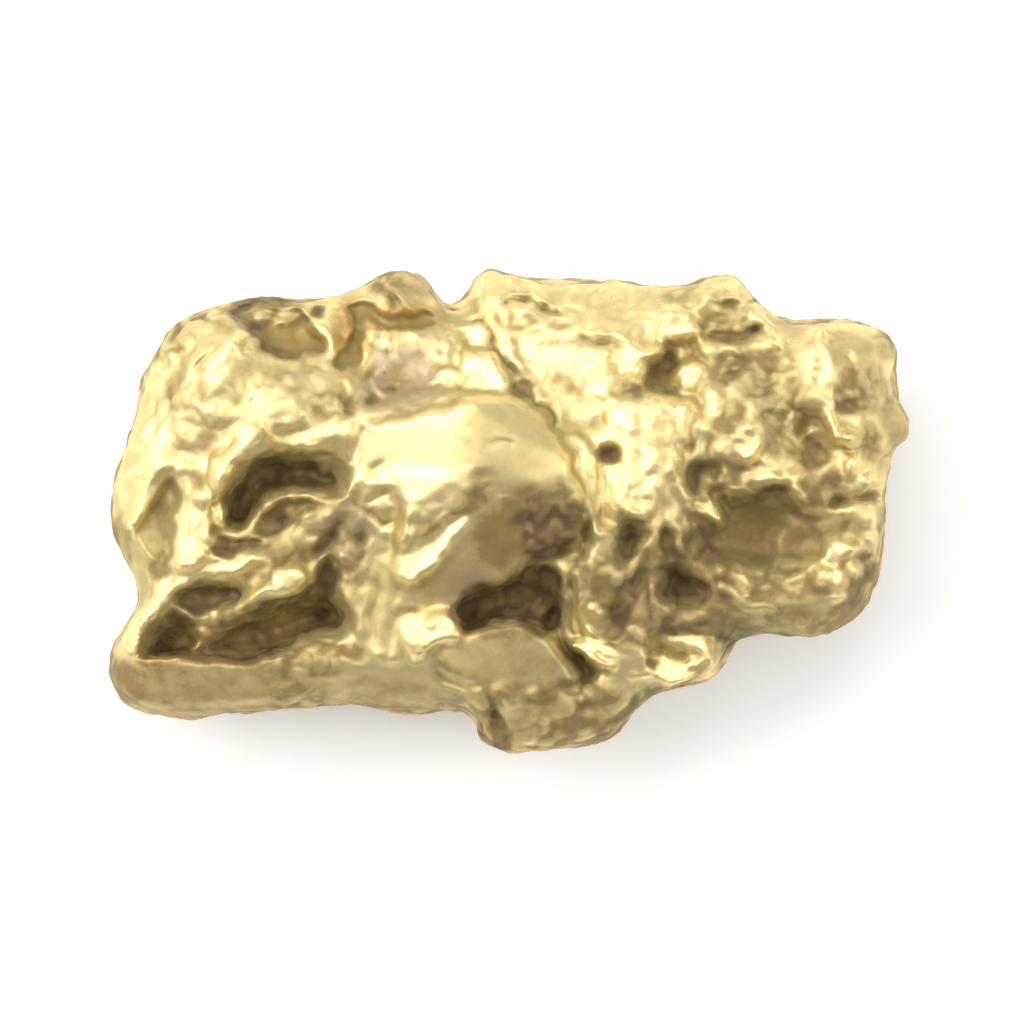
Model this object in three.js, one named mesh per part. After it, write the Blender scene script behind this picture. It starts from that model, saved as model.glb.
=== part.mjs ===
// A natural gold nugget: one lump of native metal, flat enough to lie on its underside.
// Millimetres, +Z up. The origin is under the middle of the nugget, on the surface it lies on.
// +X runs along its length, and the deeply hollowed face looks up.
import * as THREE from "three";
import { mergeVertices } from "three/addons/utils/BufferGeometryUtils.js";
import { ImprovedNoise } from "three/addons/math/ImprovedNoise.js";

// Driving dimensions.
const RIM_HEIGHT = 2.15; // the widest level, above the surface it lies on
const RIM_SWAY = [0.22, 0.14]; // how far the rim rises and falls, twice and three times round
const CROWN = 2.1; // how far the face stands above the rim
const KEEL = 1.95; // how far the underside reaches below the rim, between its lumps
// Roundness of the side above and below the rim: 2 is an ellipse, higher is squarer.
const EDGE_POWER = { above: 3.8, below: 2.9 };
const FACE_SHARE = 0.93; // share of the way out at which the face turns over into the side
const SEGMENTS = { length: 56, width: 34, side: 6 };

// The outline seen from above, anticlockwise, in four runs that each start at a corner.
const RIGHT_SIDE = [
  [6.95, -1.95], [7.28, -1.35], [7.4, -0.7], [7.5, 0.2], [7.55, 0.95], [7.7, 1.35], [7.97, 1.5],
  [8.0, 1.78], [7.82, 2.06], [7.62, 2.32], [7.63, 2.8], [7.68, 3.25],
];
const TOP_SIDE = [
  [7.6, 3.5], [7.1, 3.74], [6.4, 3.8], [5.65, 3.8], [5.2, 3.96], [4.87, 4.28], [4.57, 4.66],
  [4.2, 4.82], [3.8, 4.7], [3.3, 4.56], [2.4, 4.58], [1.5, 4.6], [0.6, 4.6], [0.05, 4.76],
  [-0.4, 4.87], [-0.64, 4.76], [-0.76, 4.45], [-0.92, 4.14], [-1.2, 3.98], [-1.45, 4.1],
  [-1.6, 4.45], [-1.8, 4.76], [-2.2, 4.88], [-2.62, 4.8], [-3.05, 4.5], [-3.6, 4.28],
  [-4.3, 4.24], [-5.0, 4.28], [-5.6, 4.16], [-6.15, 4.07], [-6.6, 3.84],
];
const LEFT_SIDE = [
  [-7.0, 3.45], [-7.25, 2.95], [-7.45, 2.2], [-7.63, 1.6], [-7.86, 1.05], [-7.99, 0.4],
  [-7.98, -0.2], [-7.85, -0.76], [-7.62, -1.16], [-7.46, -1.6], [-7.53, -2.02],
  [-7.8, -2.42], [-8.0, -2.92], [-8.0, -3.4],
];
const BOTTOM_SIDE = [
  [-7.75, -3.72], [-7.25, -4.02], [-6.6, -4.09], [-5.6, -4.04], [-4.4, -3.93], [-3.2, -3.86],
  [-2.2, -3.99], [-1.55, -3.95], [-1.0, -3.87], [-0.76, -4.02], [-0.58, -4.38],
  [-0.38, -4.74], [0.05, -4.87], [0.8, -4.77], [1.6, -4.62], [2.2, -4.25], [2.65, -3.8],
  [3.05, -3.56], [3.6, -3.46], [4.02, -3.26], [4.18, -2.95], [4.27, -2.64], [4.5, -2.47],
  [5.0, -2.44], [5.8, -2.55], [6.45, -2.4],
];

// Relief of the face. A mound or a hollow is an ellipse: middle, half length, half width,
// turn in degrees and height, which is negative for a hollow.
const MOUNDS = [
  // the boulder in the middle: its back, its shoulder and the tongue below it
  [-0.7, 1.0, 2.9, 2.1, -12, 0.8],
  [0.3, 1.1, 1.6, 1.5, 0, 0.35],
  [-1.7, -0.9, 1.6, 0.7, 50, 0.35],
  // the smooth boulder below the cave, and the knobs beside it
  [-0.1, -3.0, 1.6, 1.1, 0, 0.45],
  [-1.7, -2.3, 0.65, 0.5, -20, 0.45],
  [1.7, -2.6, 0.7, 0.4, -35, 0.25],
  [3.2, -2.9, 1.1, 0.7, 10, 0.4],
  // the plateau right of the crack, and the fluted shoulder beside it
  [1.3, 3.0, 2.2, 1.2, 0, 0.3],
  [2.6, 1.3, 1.1, 1.6, 0, 0.4],
  // the upper left quarter
  [-5.9, 2.6, 1.8, 0.8, 60, 0.3],
  [-4.6, 1.9, 1.3, 0.7, 30, 0.25],
  [-6.9, 1.2, 1.6, 0.8, 70, 0.2],
  // horns either side of the notch, and the knob at the upper right
  [-2.2, 4.3, 0.8, 0.7, 0, 0.3],
  [-0.5, 4.2, 0.7, 0.8, 0, 0.2],
  [4.2, 4.3, 0.9, 0.7, 0, 0.3],
  // the rim round the right-hand basin
  [7.0, 0.2, 0.7, 1.5, 0, 0.35],
  [6.4, -1.4, 1.0, 0.8, -30, 0.3],
  [4.6, 1.6, 1.0, 0.8, 20, 0.3],
  [6.9, 2.9, 0.9, 1.0, 0, 0.2],
];
const HOLLOWS = [
  // the basin in the right-hand half, and the holes left of it
  [4.9, -0.4, 2.0, 1.4, -10, -0.9],
  [3.3, -1.4, 0.9, 0.8, -40, -0.8],
  [2.3, -0.6, 0.5, 0.9, -30, -0.5],
  [6.0, 1.5, 0.9, 0.7, -40, -0.45],
  // pockets along the top
  [-4.5, 3.4, 1.3, 0.6, -15, -0.5],
  [-3.2, 3.4, 0.4, 0.9, 0, -0.4],
  [-2.4, 2.6, 1.1, 0.7, 20, -0.4],
  [3.1, 2.9, 0.75, 0.75, 0, -0.7],
  [4.3, 3.75, 0.8, 0.4, 0, -0.5],
  [5.0, 2.7, 0.7, 0.5, 0, -0.3],
];
// A ridge or a groove follows a path: its points, half width and height.
const PATHS = [
  // the two long hollows of the left half, with the branches between them
  { along: [[-5.5, -0.1], [-5.15, 0.6], [-4.3, 0.85], [-3.6, 0.7]], reach: 0.58, height: -0.95 },
  { along: [[-7.1, -2.65], [-6.2, -2.45], [-5.2, -2.5], [-4.2, -2.15], [-3.6, -2.1]],
    reach: 0.6, height: -1.05 },
  { along: [[-6.6, -1.75], [-5.5, -1.7]], reach: 0.5, height: -0.5 },
  { along: [[-3.7, -1.1], [-3.7, -1.9]], reach: 0.4, height: -0.4 },
  { along: [[-4.8, -0.3], [-3.6, -0.5]], reach: 0.45, height: -0.4 },
  // the cave under the boulder, and the channel that leads out of it
  { along: [[-0.8, -1.9], [0.1, -1.75], [0.8, -1.8], [1.1, -2.5], [1.5, -3.1]],
    reach: 0.6, height: -1.0 },
  { along: [[1.1, -0.3], [0.7, -1.2]], reach: 0.6, height: -0.5 },
  // the crack from the notch down to the boulder's shoulder
  { along: [[-1.2, 4.2], [-0.5, 3.7], [0.2, 2.5], [0.9, 1.8], [1.5, 0.4], [1.4, -0.6]],
    reach: 0.35, height: -0.22 },
  // crests: beside the long hollows, down the left edge and the blade at the right
  { along: [[-7.35, -2.3], [-6.7, -1.4], [-5.95, -0.6], [-5.7, 0.6], [-5.0, 1.4]],
    reach: 0.5, height: 0.35 },
  { along: [[-7.3, -3.3], [-5.4, -3.4], [-3.4, -3.1]], reach: 0.7, height: 0.2 },
  { along: [[-6.2, -2.3], [-5.4, -1.9], [-4.3, -1.3]], reach: 0.35, height: 0.35 },
  { along: [[6.0, 3.6], [6.15, 2.6], [6.35, 1.5]], reach: 0.4, height: 0.3 },
];
// Lumps of the underside, drawn as the mounds are. The nugget lies on these, worn flat.
const FEET = [
  [-5.4, -2.1, 2.2, 1.5, 15, 0.6],
  [-4.9, 1.7, 1.9, 1.5, -20, 0.9],
  [0.2, -0.3, 2.6, 1.9, 10, 0.5],
  [1.3, 2.9, 1.7, 1.2, 0, 0.6],
  [0.6, -3.1, 1.6, 1.1, 0, 0.9],
  [4.9, 0.4, 1.9, 1.7, 30, 0.6],
];
// Weathering all over, coarse then fine: wavelength and height.
const LUMPS = [[2.6, 0.3], [1.2, 0.12]];
const FACE_LUMPS = 0.4; // share of the weathering on the face, which has a relief of its own
const NOISE_START = new THREE.Vector3(7.3, 2.9, 5.1);

const noise = new ImprovedNoise();
const { clamp, degToRad, lerp, smoothstep } = THREE.MathUtils;

const sides = [RIGHT_SIDE, TOP_SIDE, LEFT_SIDE, BOTTOM_SIDE];
const outlinePoints = sides.flat().map(([x, y]) => new THREE.Vector3(x, y, 0));
const outline = new THREE.CatmullRomCurve3(outlinePoints, true, "centripetal");

// A point of the outline: the side's number, and the share of the way along it.
function outlineAt(side, share) {
  const before = sides.slice(0, side).flat().length;
  return outline.getPoint(((before + share * sides[side].length) / outlinePoints.length) % 1);
}

// The outline's point for a point on the edge of a square of half side 1.
function rimPoint(u, v) {
  if (u >= 1) return outlineAt(0, (v + 1) / 2);
  if (v >= 1) return outlineAt(1, (1 - u) / 2);
  if (u <= -1) return outlineAt(2, (1 - v) / 2);
  return outlineAt(3, (u + 1) / 2);
}

// The same square drawn to the four corners of the outline with straight sides.
function straightPoint(u, v) {
  const [lowerRight, upperRight, upperLeft, lowerLeft] = sides.map(([corner]) => corner);
  const across = (left, right) => left.map((value, i) => lerp(value, right[i], (u + 1) / 2));
  const lower = across(lowerLeft, lowerRight);
  const upper = across(upperLeft, upperRight);
  return new THREE.Vector3(
    lerp(lower[0], upper[0], (v + 1) / 2), lerp(lower[1], upper[1], (v + 1) / 2), 0);
}

function bell(r) {
  return r < 1 ? (1 - r * r) ** 2 : 0;
}

function ellipseHeight(x, y, [middleX, middleY, halfLength, halfWidth, turn, height]) {
  const angle = degToRad(turn);
  const along = (x - middleX) * Math.cos(angle) + (y - middleY) * Math.sin(angle);
  const across = (y - middleY) * Math.cos(angle) - (x - middleX) * Math.sin(angle);
  return height * bell(Math.hypot(along / halfLength, across / halfWidth));
}

function pathHeight(x, y, { along, reach, height }) {
  let nearest = Infinity;
  for (let i = 1; i < along.length; i++) {
    const [startX, startY] = along[i - 1];
    const stepX = along[i][0] - startX;
    const stepY = along[i][1] - startY;
    const share = ((x - startX) * stepX + (y - startY) * stepY) / (stepX ** 2 + stepY ** 2);
    const t = clamp(share, 0, 1);
    nearest = Math.min(nearest, Math.hypot(x - startX - t * stepX, y - startY - t * stepY));
  }
  return height * bell(nearest / reach);
}

function faceRelief(x, y) {
  const ellipses = [...MOUNDS, ...HOLLOWS].map((shape) => ellipseHeight(x, y, shape));
  const paths = PATHS.map((path) => pathHeight(x, y, path));
  return [...ellipses, ...paths].reduce((sum, height) => sum + height, 0);
}

function undersideRelief(x, y) {
  return FEET.reduce((sum, foot) => sum - ellipseHeight(x, y, foot), 0);
}

function weathering(p) {
  return LUMPS.reduce((sum, [wave, height]) => {
    const at = p.clone().divideScalar(wave).add(NOISE_START);
    return sum + height * noise.noise(at.x, at.y, at.z);
  }, 0);
}

function rimHeight(rim) {
  const angle = Math.atan2(rim.y, rim.x);
  return RIM_HEIGHT + RIM_SWAY[0] * Math.cos(2 * angle + 1) + RIM_SWAY[1] * Math.cos(3 * angle - 2);
}

// Draws a point of a cube of half side 1 out to the nugget's surface.
function surfacePoint(u, v, w) {
  const ring = Math.max(Math.abs(u), Math.abs(v));
  const onSide = Math.abs(w) < 1;
  const power = w > 0 ? EDGE_POWER.above : EDGE_POWER.below;
  const turnover = Math.acos(FACE_SHARE ** (power / 2));
  const share = onSide ? Math.cos(w * turnover) ** (2 / power) : ring * FACE_SHARE;
  const rise = Math.sign(w) * (1 - share ** power) ** (1 / power);

  const edgeU = ring > 0 ? u / ring : 1;
  const edgeV = ring > 0 ? v / ring : 0;
  const rim = rimPoint(edgeU, edgeV);
  const p = straightPoint(edgeU * share, edgeV * share);
  // the outline's own bends fade out towards the middle
  p.addScaledVector(rim.clone().sub(straightPoint(edgeU, edgeV)), share ** 5);

  const onFace = smoothstep(rise, 0, 0.75);
  const onUnderside = smoothstep(-rise, 0.3, 0.9);
  p.z = rimHeight(rim) + rise * (rise > 0 ? CROWN : KEEL);
  const worn = weathering(p) * lerp(1, FACE_LUMPS, onFace) * Math.abs(rise);
  p.z += faceRelief(p.x, p.y) * onFace + undersideRelief(p.x, p.y) * onUnderside + worn;
  p.z = Math.max(p.z, 0);
  return p;
}

function nuggetGeometry() {
  const cube = new THREE.BoxGeometry(2, 2, 2, SEGMENTS.length, SEGMENTS.width, SEGMENTS.side);
  cube.deleteAttribute("normal");
  cube.deleteAttribute("uv");
  const geometry = mergeVertices(cube, 1e-5);
  const points = geometry.getAttribute("position");
  const exact = (value) => (Math.abs(value) > 1 - 1e-6 ? Math.sign(value) : value);
  for (let i = 0; i < points.count; i++) {
    const p = surfacePoint(exact(points.getX(i)), exact(points.getY(i)), exact(points.getZ(i)));
    points.setXYZ(i, p.x, p.y, p.z);
  }
  geometry.computeBoundingBox();
  const middle = geometry.boundingBox.getCenter(new THREE.Vector3());
  geometry.translate(-middle.x, -middle.y, 0);
  geometry.computeVertexNormals();
  return geometry;
}

const nativeGold = new THREE.MeshStandardMaterial({
  color: 0xe6c87c,
  metalness: 1,
  roughness: 0.35,
});

const nugget = new THREE.Mesh(nuggetGeometry(), nativeGold);
nugget.name = "nugget";

const part = new THREE.Group();
part.add(nugget);

export default part;
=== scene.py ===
import math

import bmesh
import bpy
import numpy as np
from mathutils import Matrix, Vector
from mathutils.noise import noise_vector, seed_set


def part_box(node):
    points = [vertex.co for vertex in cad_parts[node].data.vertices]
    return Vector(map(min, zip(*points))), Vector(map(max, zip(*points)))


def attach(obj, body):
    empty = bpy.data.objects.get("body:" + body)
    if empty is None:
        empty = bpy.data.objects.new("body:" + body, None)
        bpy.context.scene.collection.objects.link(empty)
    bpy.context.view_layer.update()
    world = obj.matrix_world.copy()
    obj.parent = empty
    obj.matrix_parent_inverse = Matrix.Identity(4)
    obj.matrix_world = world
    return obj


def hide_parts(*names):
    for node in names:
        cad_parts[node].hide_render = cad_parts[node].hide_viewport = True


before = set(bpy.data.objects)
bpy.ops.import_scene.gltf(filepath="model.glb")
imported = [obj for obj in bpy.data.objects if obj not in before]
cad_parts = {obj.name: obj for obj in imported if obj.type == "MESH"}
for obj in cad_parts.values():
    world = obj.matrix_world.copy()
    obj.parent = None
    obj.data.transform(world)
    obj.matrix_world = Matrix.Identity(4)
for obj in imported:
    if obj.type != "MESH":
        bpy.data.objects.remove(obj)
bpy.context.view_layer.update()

# The gold nugget: one piece of native metal. Its surface starts from the solid's own, is remeshed
# finely, and gets the relief that a solid is too coarse for: faces, pockets, folds, knobs and a
# grainy skin. Relief is drawn in millimetres on the face as it is seen from above, +X to the
# right and +Y up, for a nugget of the size below, and is scaled to the size of the solid's box.
MM = 0.001
DRAWN_SIZE = np.array([16.04, 9.75, 5.41])

# the mesh
COARSE_EDGE = 0.12   # edge of the mesh on the sides and the underside, mm
FINE_ABOVE = 2.75    # above this height the edges are halved, mm
FACET_ROUNDS = 14    # rounds of smoothing that take out the solid's flat triangles
WORN_ROUNDS = 3      # rounds of smoothing that round the crests of the relief
WIDE_ROUNDS = 220    # rounds that turn a vertex into the middle of its surroundings
BROAD_ROUNDS = 60    # rounds that turn its normal into theirs
FULL_HOLLOW = 0.35   # depth below its surroundings at which a vertex is fully in a hollow, mm

# the relief
LUMP_SIZE = 1.1      # size of the lumps on the sides and the underside, mm
LUMP_HEIGHT = 0.4    # their greatest height, mm
SIDE_LUMPS = 0.35    # share of that height on an upright side
EDGE_ROUND = 0.05    # rounds the edge between two planes of a face, mm
FLAT_CLEANED = 0.95  # share of the dirt and painted shade that is taken off a flat
KNOB_WEAR = 0.7      # share of a knob's or a pit's first height that wear has left
FLANK_FILM_AND_SHADE = 0.46    # amount of dirt on the sides and the underside, partly painted shade that darkens the rim
QUIET = 0.92         # share of the skin's knobs and grain that smooth ground has lost
SIDE_KNOBS = 0.6     # how much higher the skin stands on the sides and the underside, as a share

# random patterns, which are the same in each run
NOISE_SEED = 5       # fixes the noise that the wavers and the lumps read
SEED_SHIFT = 3.7     # shifts the pattern of the skin
LUMP_SHIFT = 31.0    # shifts the lumps
WAVERS = [           # how far outlines stray: size, amount and shift of each waver, mm
    (0.45, 0.07, 11.0),
    (0.2, 0.05, 23.0),
]

# the skin: small knobs, and grain between and on them, mm
SKIN = {
    "Knob Size": 0.36,
    "Knob Height": 0.035,
    "Grain Size": 0.6,
    "Grain Height": 0.03,
    "Shift": SEED_SHIFT,
}

# the finish
CLEAN_GOLD = "#FDEBAE"
WARM_GOLD = "#F8E0A0"
DULL_GOLD = "#D9BFA0"
RUSTED_GOLD = "#D2B070"
# film and crust: dirt, and also painted shade where the amount paints it
GROUND_FILM_AND_SHADE = "#AA925C"
WALL_FILM_AND_SHADE = "#A29360"
BROWN_CRUST_AND_SHADE = "#6A5232"
RUSTY_CRUST = "#9C7A3C"
CLINGING_FILM_AND_SHADE = 0.42    # amount of dirt on steep walls, partly painted shade on them
BLOTCHES_PER_MM = 0.9   # of paler and warmer gold
PATCHES_PER_MM = 2.5    # of tarnish, and of unevenness in the dirt and painted shade
GRAINS_PER_MM = 8.0     # of hackly grain, about 0.12 mm across
PITS_PER_MM = 22.0      # pits of 0.045 mm: real ones are finer, and are drawn this coarse to show

# the studio: radiances, and sizes and distances in lengths of the nugget
FLOOR_GLOW = 0.22    # radiance that the floor adds to the light it reflects
FLOOR_SIZE = 60
ROOM_LIGHT = 0.25
CAMERA_DISTANCE = 16
VIEW_WIDTH = 1.269
SOFTBOXES = [        # name, azimuth and elevation in degrees, distance, width, height, radiance
    ("left softbox", 160, 42, 20, 17, 17, 3.6),
    ("back softbox", 95, 48, 20, 15, 14, 2.25),
    ("overhead card", 0, 90, 40, 26, 26, 0.8),
    ("right card", 0, 40, 20, 14, 18, 2.05),
]

# Faces: broad flats with edges between them. Each has the width over which it blends into its
# surroundings, an outline, and its planes, of which the lowest is the surface. A plane has a
# point on it, the height there, and its slopes to the right and up the face.
FACES = [
    # ground round the top of the boulder
    (0.3, [(-1.5, 1.6), (-1.5, 2.25), (-0.9, 2.42), (-0.2, 2.5), (0.4, 2.35), (0.9, 1.9), (1.2, 1.4),
     (1.4, 0.9), (1.45, 0.4), (0.8, 0.4), (0.0, 1.4)],
     [(0.3, 2.3, 4.35, -0.135, -0.257)]),
    # the boulder: its left and right faces, its rounded upper right, its lower face, and the
    # flank of its tongue
    (0.14, [(-3.02, 1.7), (-3.1, 1.3), (-3.0, 0.95), (-2.7, 0.62), (-2.3, 0.45), (-2.05, 0.1),
     (-2.3, -0.5), (-2.3, -1.1), (-2.1, -1.75), (-1.6, -1.98), (-1.1, -1.9), (-0.9, -1.6), (-0.6, -1.4),
     (-0.3, -1.45), (0.0, -1.3), (0.4, -1.0), (0.9, -0.75), (1.3, -0.6), (1.45, -0.2), (1.4, 0.3),
     (1.2, 0.8), (1.0, 1.3), (0.75, 1.7), (0.3, 2.15), (-0.2, 2.3), (-0.9, 2.2), (-1.4, 2.08),
     (-2.2, 1.84), (-2.7, 1.8)],
     [(-0.75, 1.0, 5.4, 0.31, -0.1), (-0.75, 1.0, 5.4, -0.22, 0.02), (0.35, 1.65, 5.0, -0.55, -0.65),
     (0.0, 0.7, 5.22, -0.04, 0.5), (-0.9, 0.1, 5.1, 0.36, 0.13)]),
    # the smooth boulder below the cave
    (0.14, [(-1.1, -2.5), (-0.6, -2.35), (-0.2, -2.22), (0.1, -2.22), (0.6, -2.45), (0.95, -2.8),
     (1.2, -3.2), (1.1, -3.4), (0.4, -3.45), (-0.5, -3.4), (-1.2, -3.25), (-1.45, -2.9)],
     [(0.0, -2.5, 4.3, -0.05, 0.1), (0.0, -2.4, 4.3, 0.12, -0.05)]),
    # the flat lip along the lower left
    (0.08, [(-7.85, -3.3), (-7.5, -2.92), (-6.8, -2.84), (-6.0, -2.92), (-5.2, -2.98), (-4.6, -2.88),
     (-4.2, -3.0), (-3.95, -3.4), (-4.1, -3.7), (-5.5, -3.8), (-7.1, -3.82), (-7.65, -3.6)],
     [(-6.0, -3.2, 3.5, 0.07, 0.1), (-6.0, -3.65, 3.455, 0.07, 0.9), (-7.3, -3.2, 3.41, 0.8, 0.1)]),
    # the flutes right of the trench
    (0.12, [(-3.2, -1.0), (-2.4, -0.8), (-2.05, -1.5), (-2.15, -2.9), (-3.0, -2.95), (-3.1, -2.3),
     (-3.3, -1.8)],
     [(-2.4, -2.0, 3.97, 0.2, 0.16)]),
    # the bright cluster by the cave, and the folds of the lower right
    (0.1, [(-2.2, -2.0), (-1.6, -1.93), (-1.08, -2.18), (-1.12, -2.5), (-1.6, -2.62), (-1.9, -2.9),
     (-2.12, -2.6)],
     [(-1.6, -2.3, 4.15, 0.36, -0.12)]),
    (0.1, [(1.15, -2.5), (1.6, -2.5), (2.1, -2.72), (1.95, -3.1), (1.5, -3.0), (1.3, -2.8)],
     [(1.6, -2.75, 3.75, 0.3, -0.15)]),
    (0.1, [(2.75, -2.45), (3.6, -2.42), (4.0, -2.8), (3.8, -3.2), (3.1, -3.4), (2.75, -3.0)],
     [(3.3, -2.9, 3.66, 0.18, -0.06)]),
    # the ear, and the fluted shoulder right of it
    (0.1, [(1.02, 1.4), (1.4, 1.45), (1.78, 0.6), (1.68, -0.4), (1.5, -0.3), (1.46, 0.2), (1.25, 0.8)],
     [(1.4, 0.6, 4.52, 0.3, -0.06), (1.6, 0.6, 4.58, -0.5, 0.0)]),
    (0.12, [(1.98, 2.2), (3.15, 2.2), (3.35, 1.6), (3.3, 0.95), (2.95, 0.45), (2.72, -0.05),
     (1.98, -0.12), (1.92, 0.8)],
     [(2.6, 1.2, 4.52, 0.22, -0.06), (3.2, 1.2, 4.65, -0.5, 0.0), (2.6, 2.05, 4.5, 0.22, -0.8)]),
    # the sunk facet of the left end
    (0.07, [(-7.45, -0.3), (-7.1, 0.3), (-6.78, 0.72), (-6.6, 0.3), (-6.62, -0.2), (-6.85, -1.0),
     (-7.15, -0.95)],
     [(-6.8, 0.0, 3.6, 0.1, -0.02)]),
]

# Tilts: patches that lean, with whatever else is on them. Each has the width of its edge, its
# slopes to the right and up the face, and an outline; it turns about its own middle.
TILTS = [
    # left half: ground left and right of the long hollows, and the flutes below the tongue
    (0.4, 0.2, -0.05, [(-7.0, 1.3), (-6.9, 3.0), (-5.8, 3.5), (-4.9, 2.6), (-4.6, 1.8), (-5.3, 1.6),
     (-5.9, 1.0)]),
    (0.1, 0.3, 0.0, [(-6.6, 0.6), (-6.1, 0.5), (-5.95, -0.2), (-6.2, -1.0), (-6.8, -1.4), (-6.5, -0.3)]),
    (0.25, 0.16, -0.12, [(-2.5, 0.4), (-1.4, 0.2), (-1.1, 0.0), (-1.8, -1.2), (-2.3, -1.2),
     (-2.4, -0.3)]),
    # lip and lower boulder, which lean down the face
    (0.1, 0.0, 0.25, [(-7.8, -3.05), (-6.8, -2.8), (-6.0, -2.88), (-5.2, -2.94), (-4.3, -2.9),
     (-4.0, -3.8), (-6.0, -3.9), (-7.6, -3.8)]),
    (0.12, 0.05, 0.3, [(-1.3, -2.5), (-0.6, -2.28), (-0.2, -2.15), (0.15, -2.15), (0.65, -2.4),
     (1.05, -2.8), (1.25, -3.3), (0.0, -3.5), (-1.4, -3.3)]),
    # knobs left of the crack, and the plateau right of it, which lean left
    (0.12, 0.25, -0.1, [(-1.6, 2.4), (-0.3, 2.45), (-0.1, 2.8), (-0.5, 3.6), (-0.95, 3.5), (-1.2, 2.9)]),
    (0.15, 0.15, -0.05, [(0.1, 3.6), (1.0, 3.75), (2.0, 3.5), (2.65, 3.1), (2.5, 2.6), (1.95, 2.2),
     (1.0, 2.3), (0.2, 2.9)]),
    # the lower right, which leans down the face
    (0.2, 0.0, 0.3, [(3.6, 0.5), (5.6, 0.6), (5.9, -0.3), (5.3, -1.0), (3.7, -0.9)]),
    (0.2, 0.0, 0.3, [(4.0, -1.6), (5.2, -1.8), (6.8, -1.7), (6.5, -2.3), (4.4, -2.3)]),
    (0.2, -0.1, 0.3, [(5.4, 0.3), (6.2, 0.3), (6.9, -0.2), (6.4, -0.8), (5.5, -0.8)]),
    (0.15, 0.0, 0.3, [(1.6, -0.4), (2.1, -0.4), (2.2, -2.2), (1.6, -2.4), (1.4, -1.4)]),
]
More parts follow.
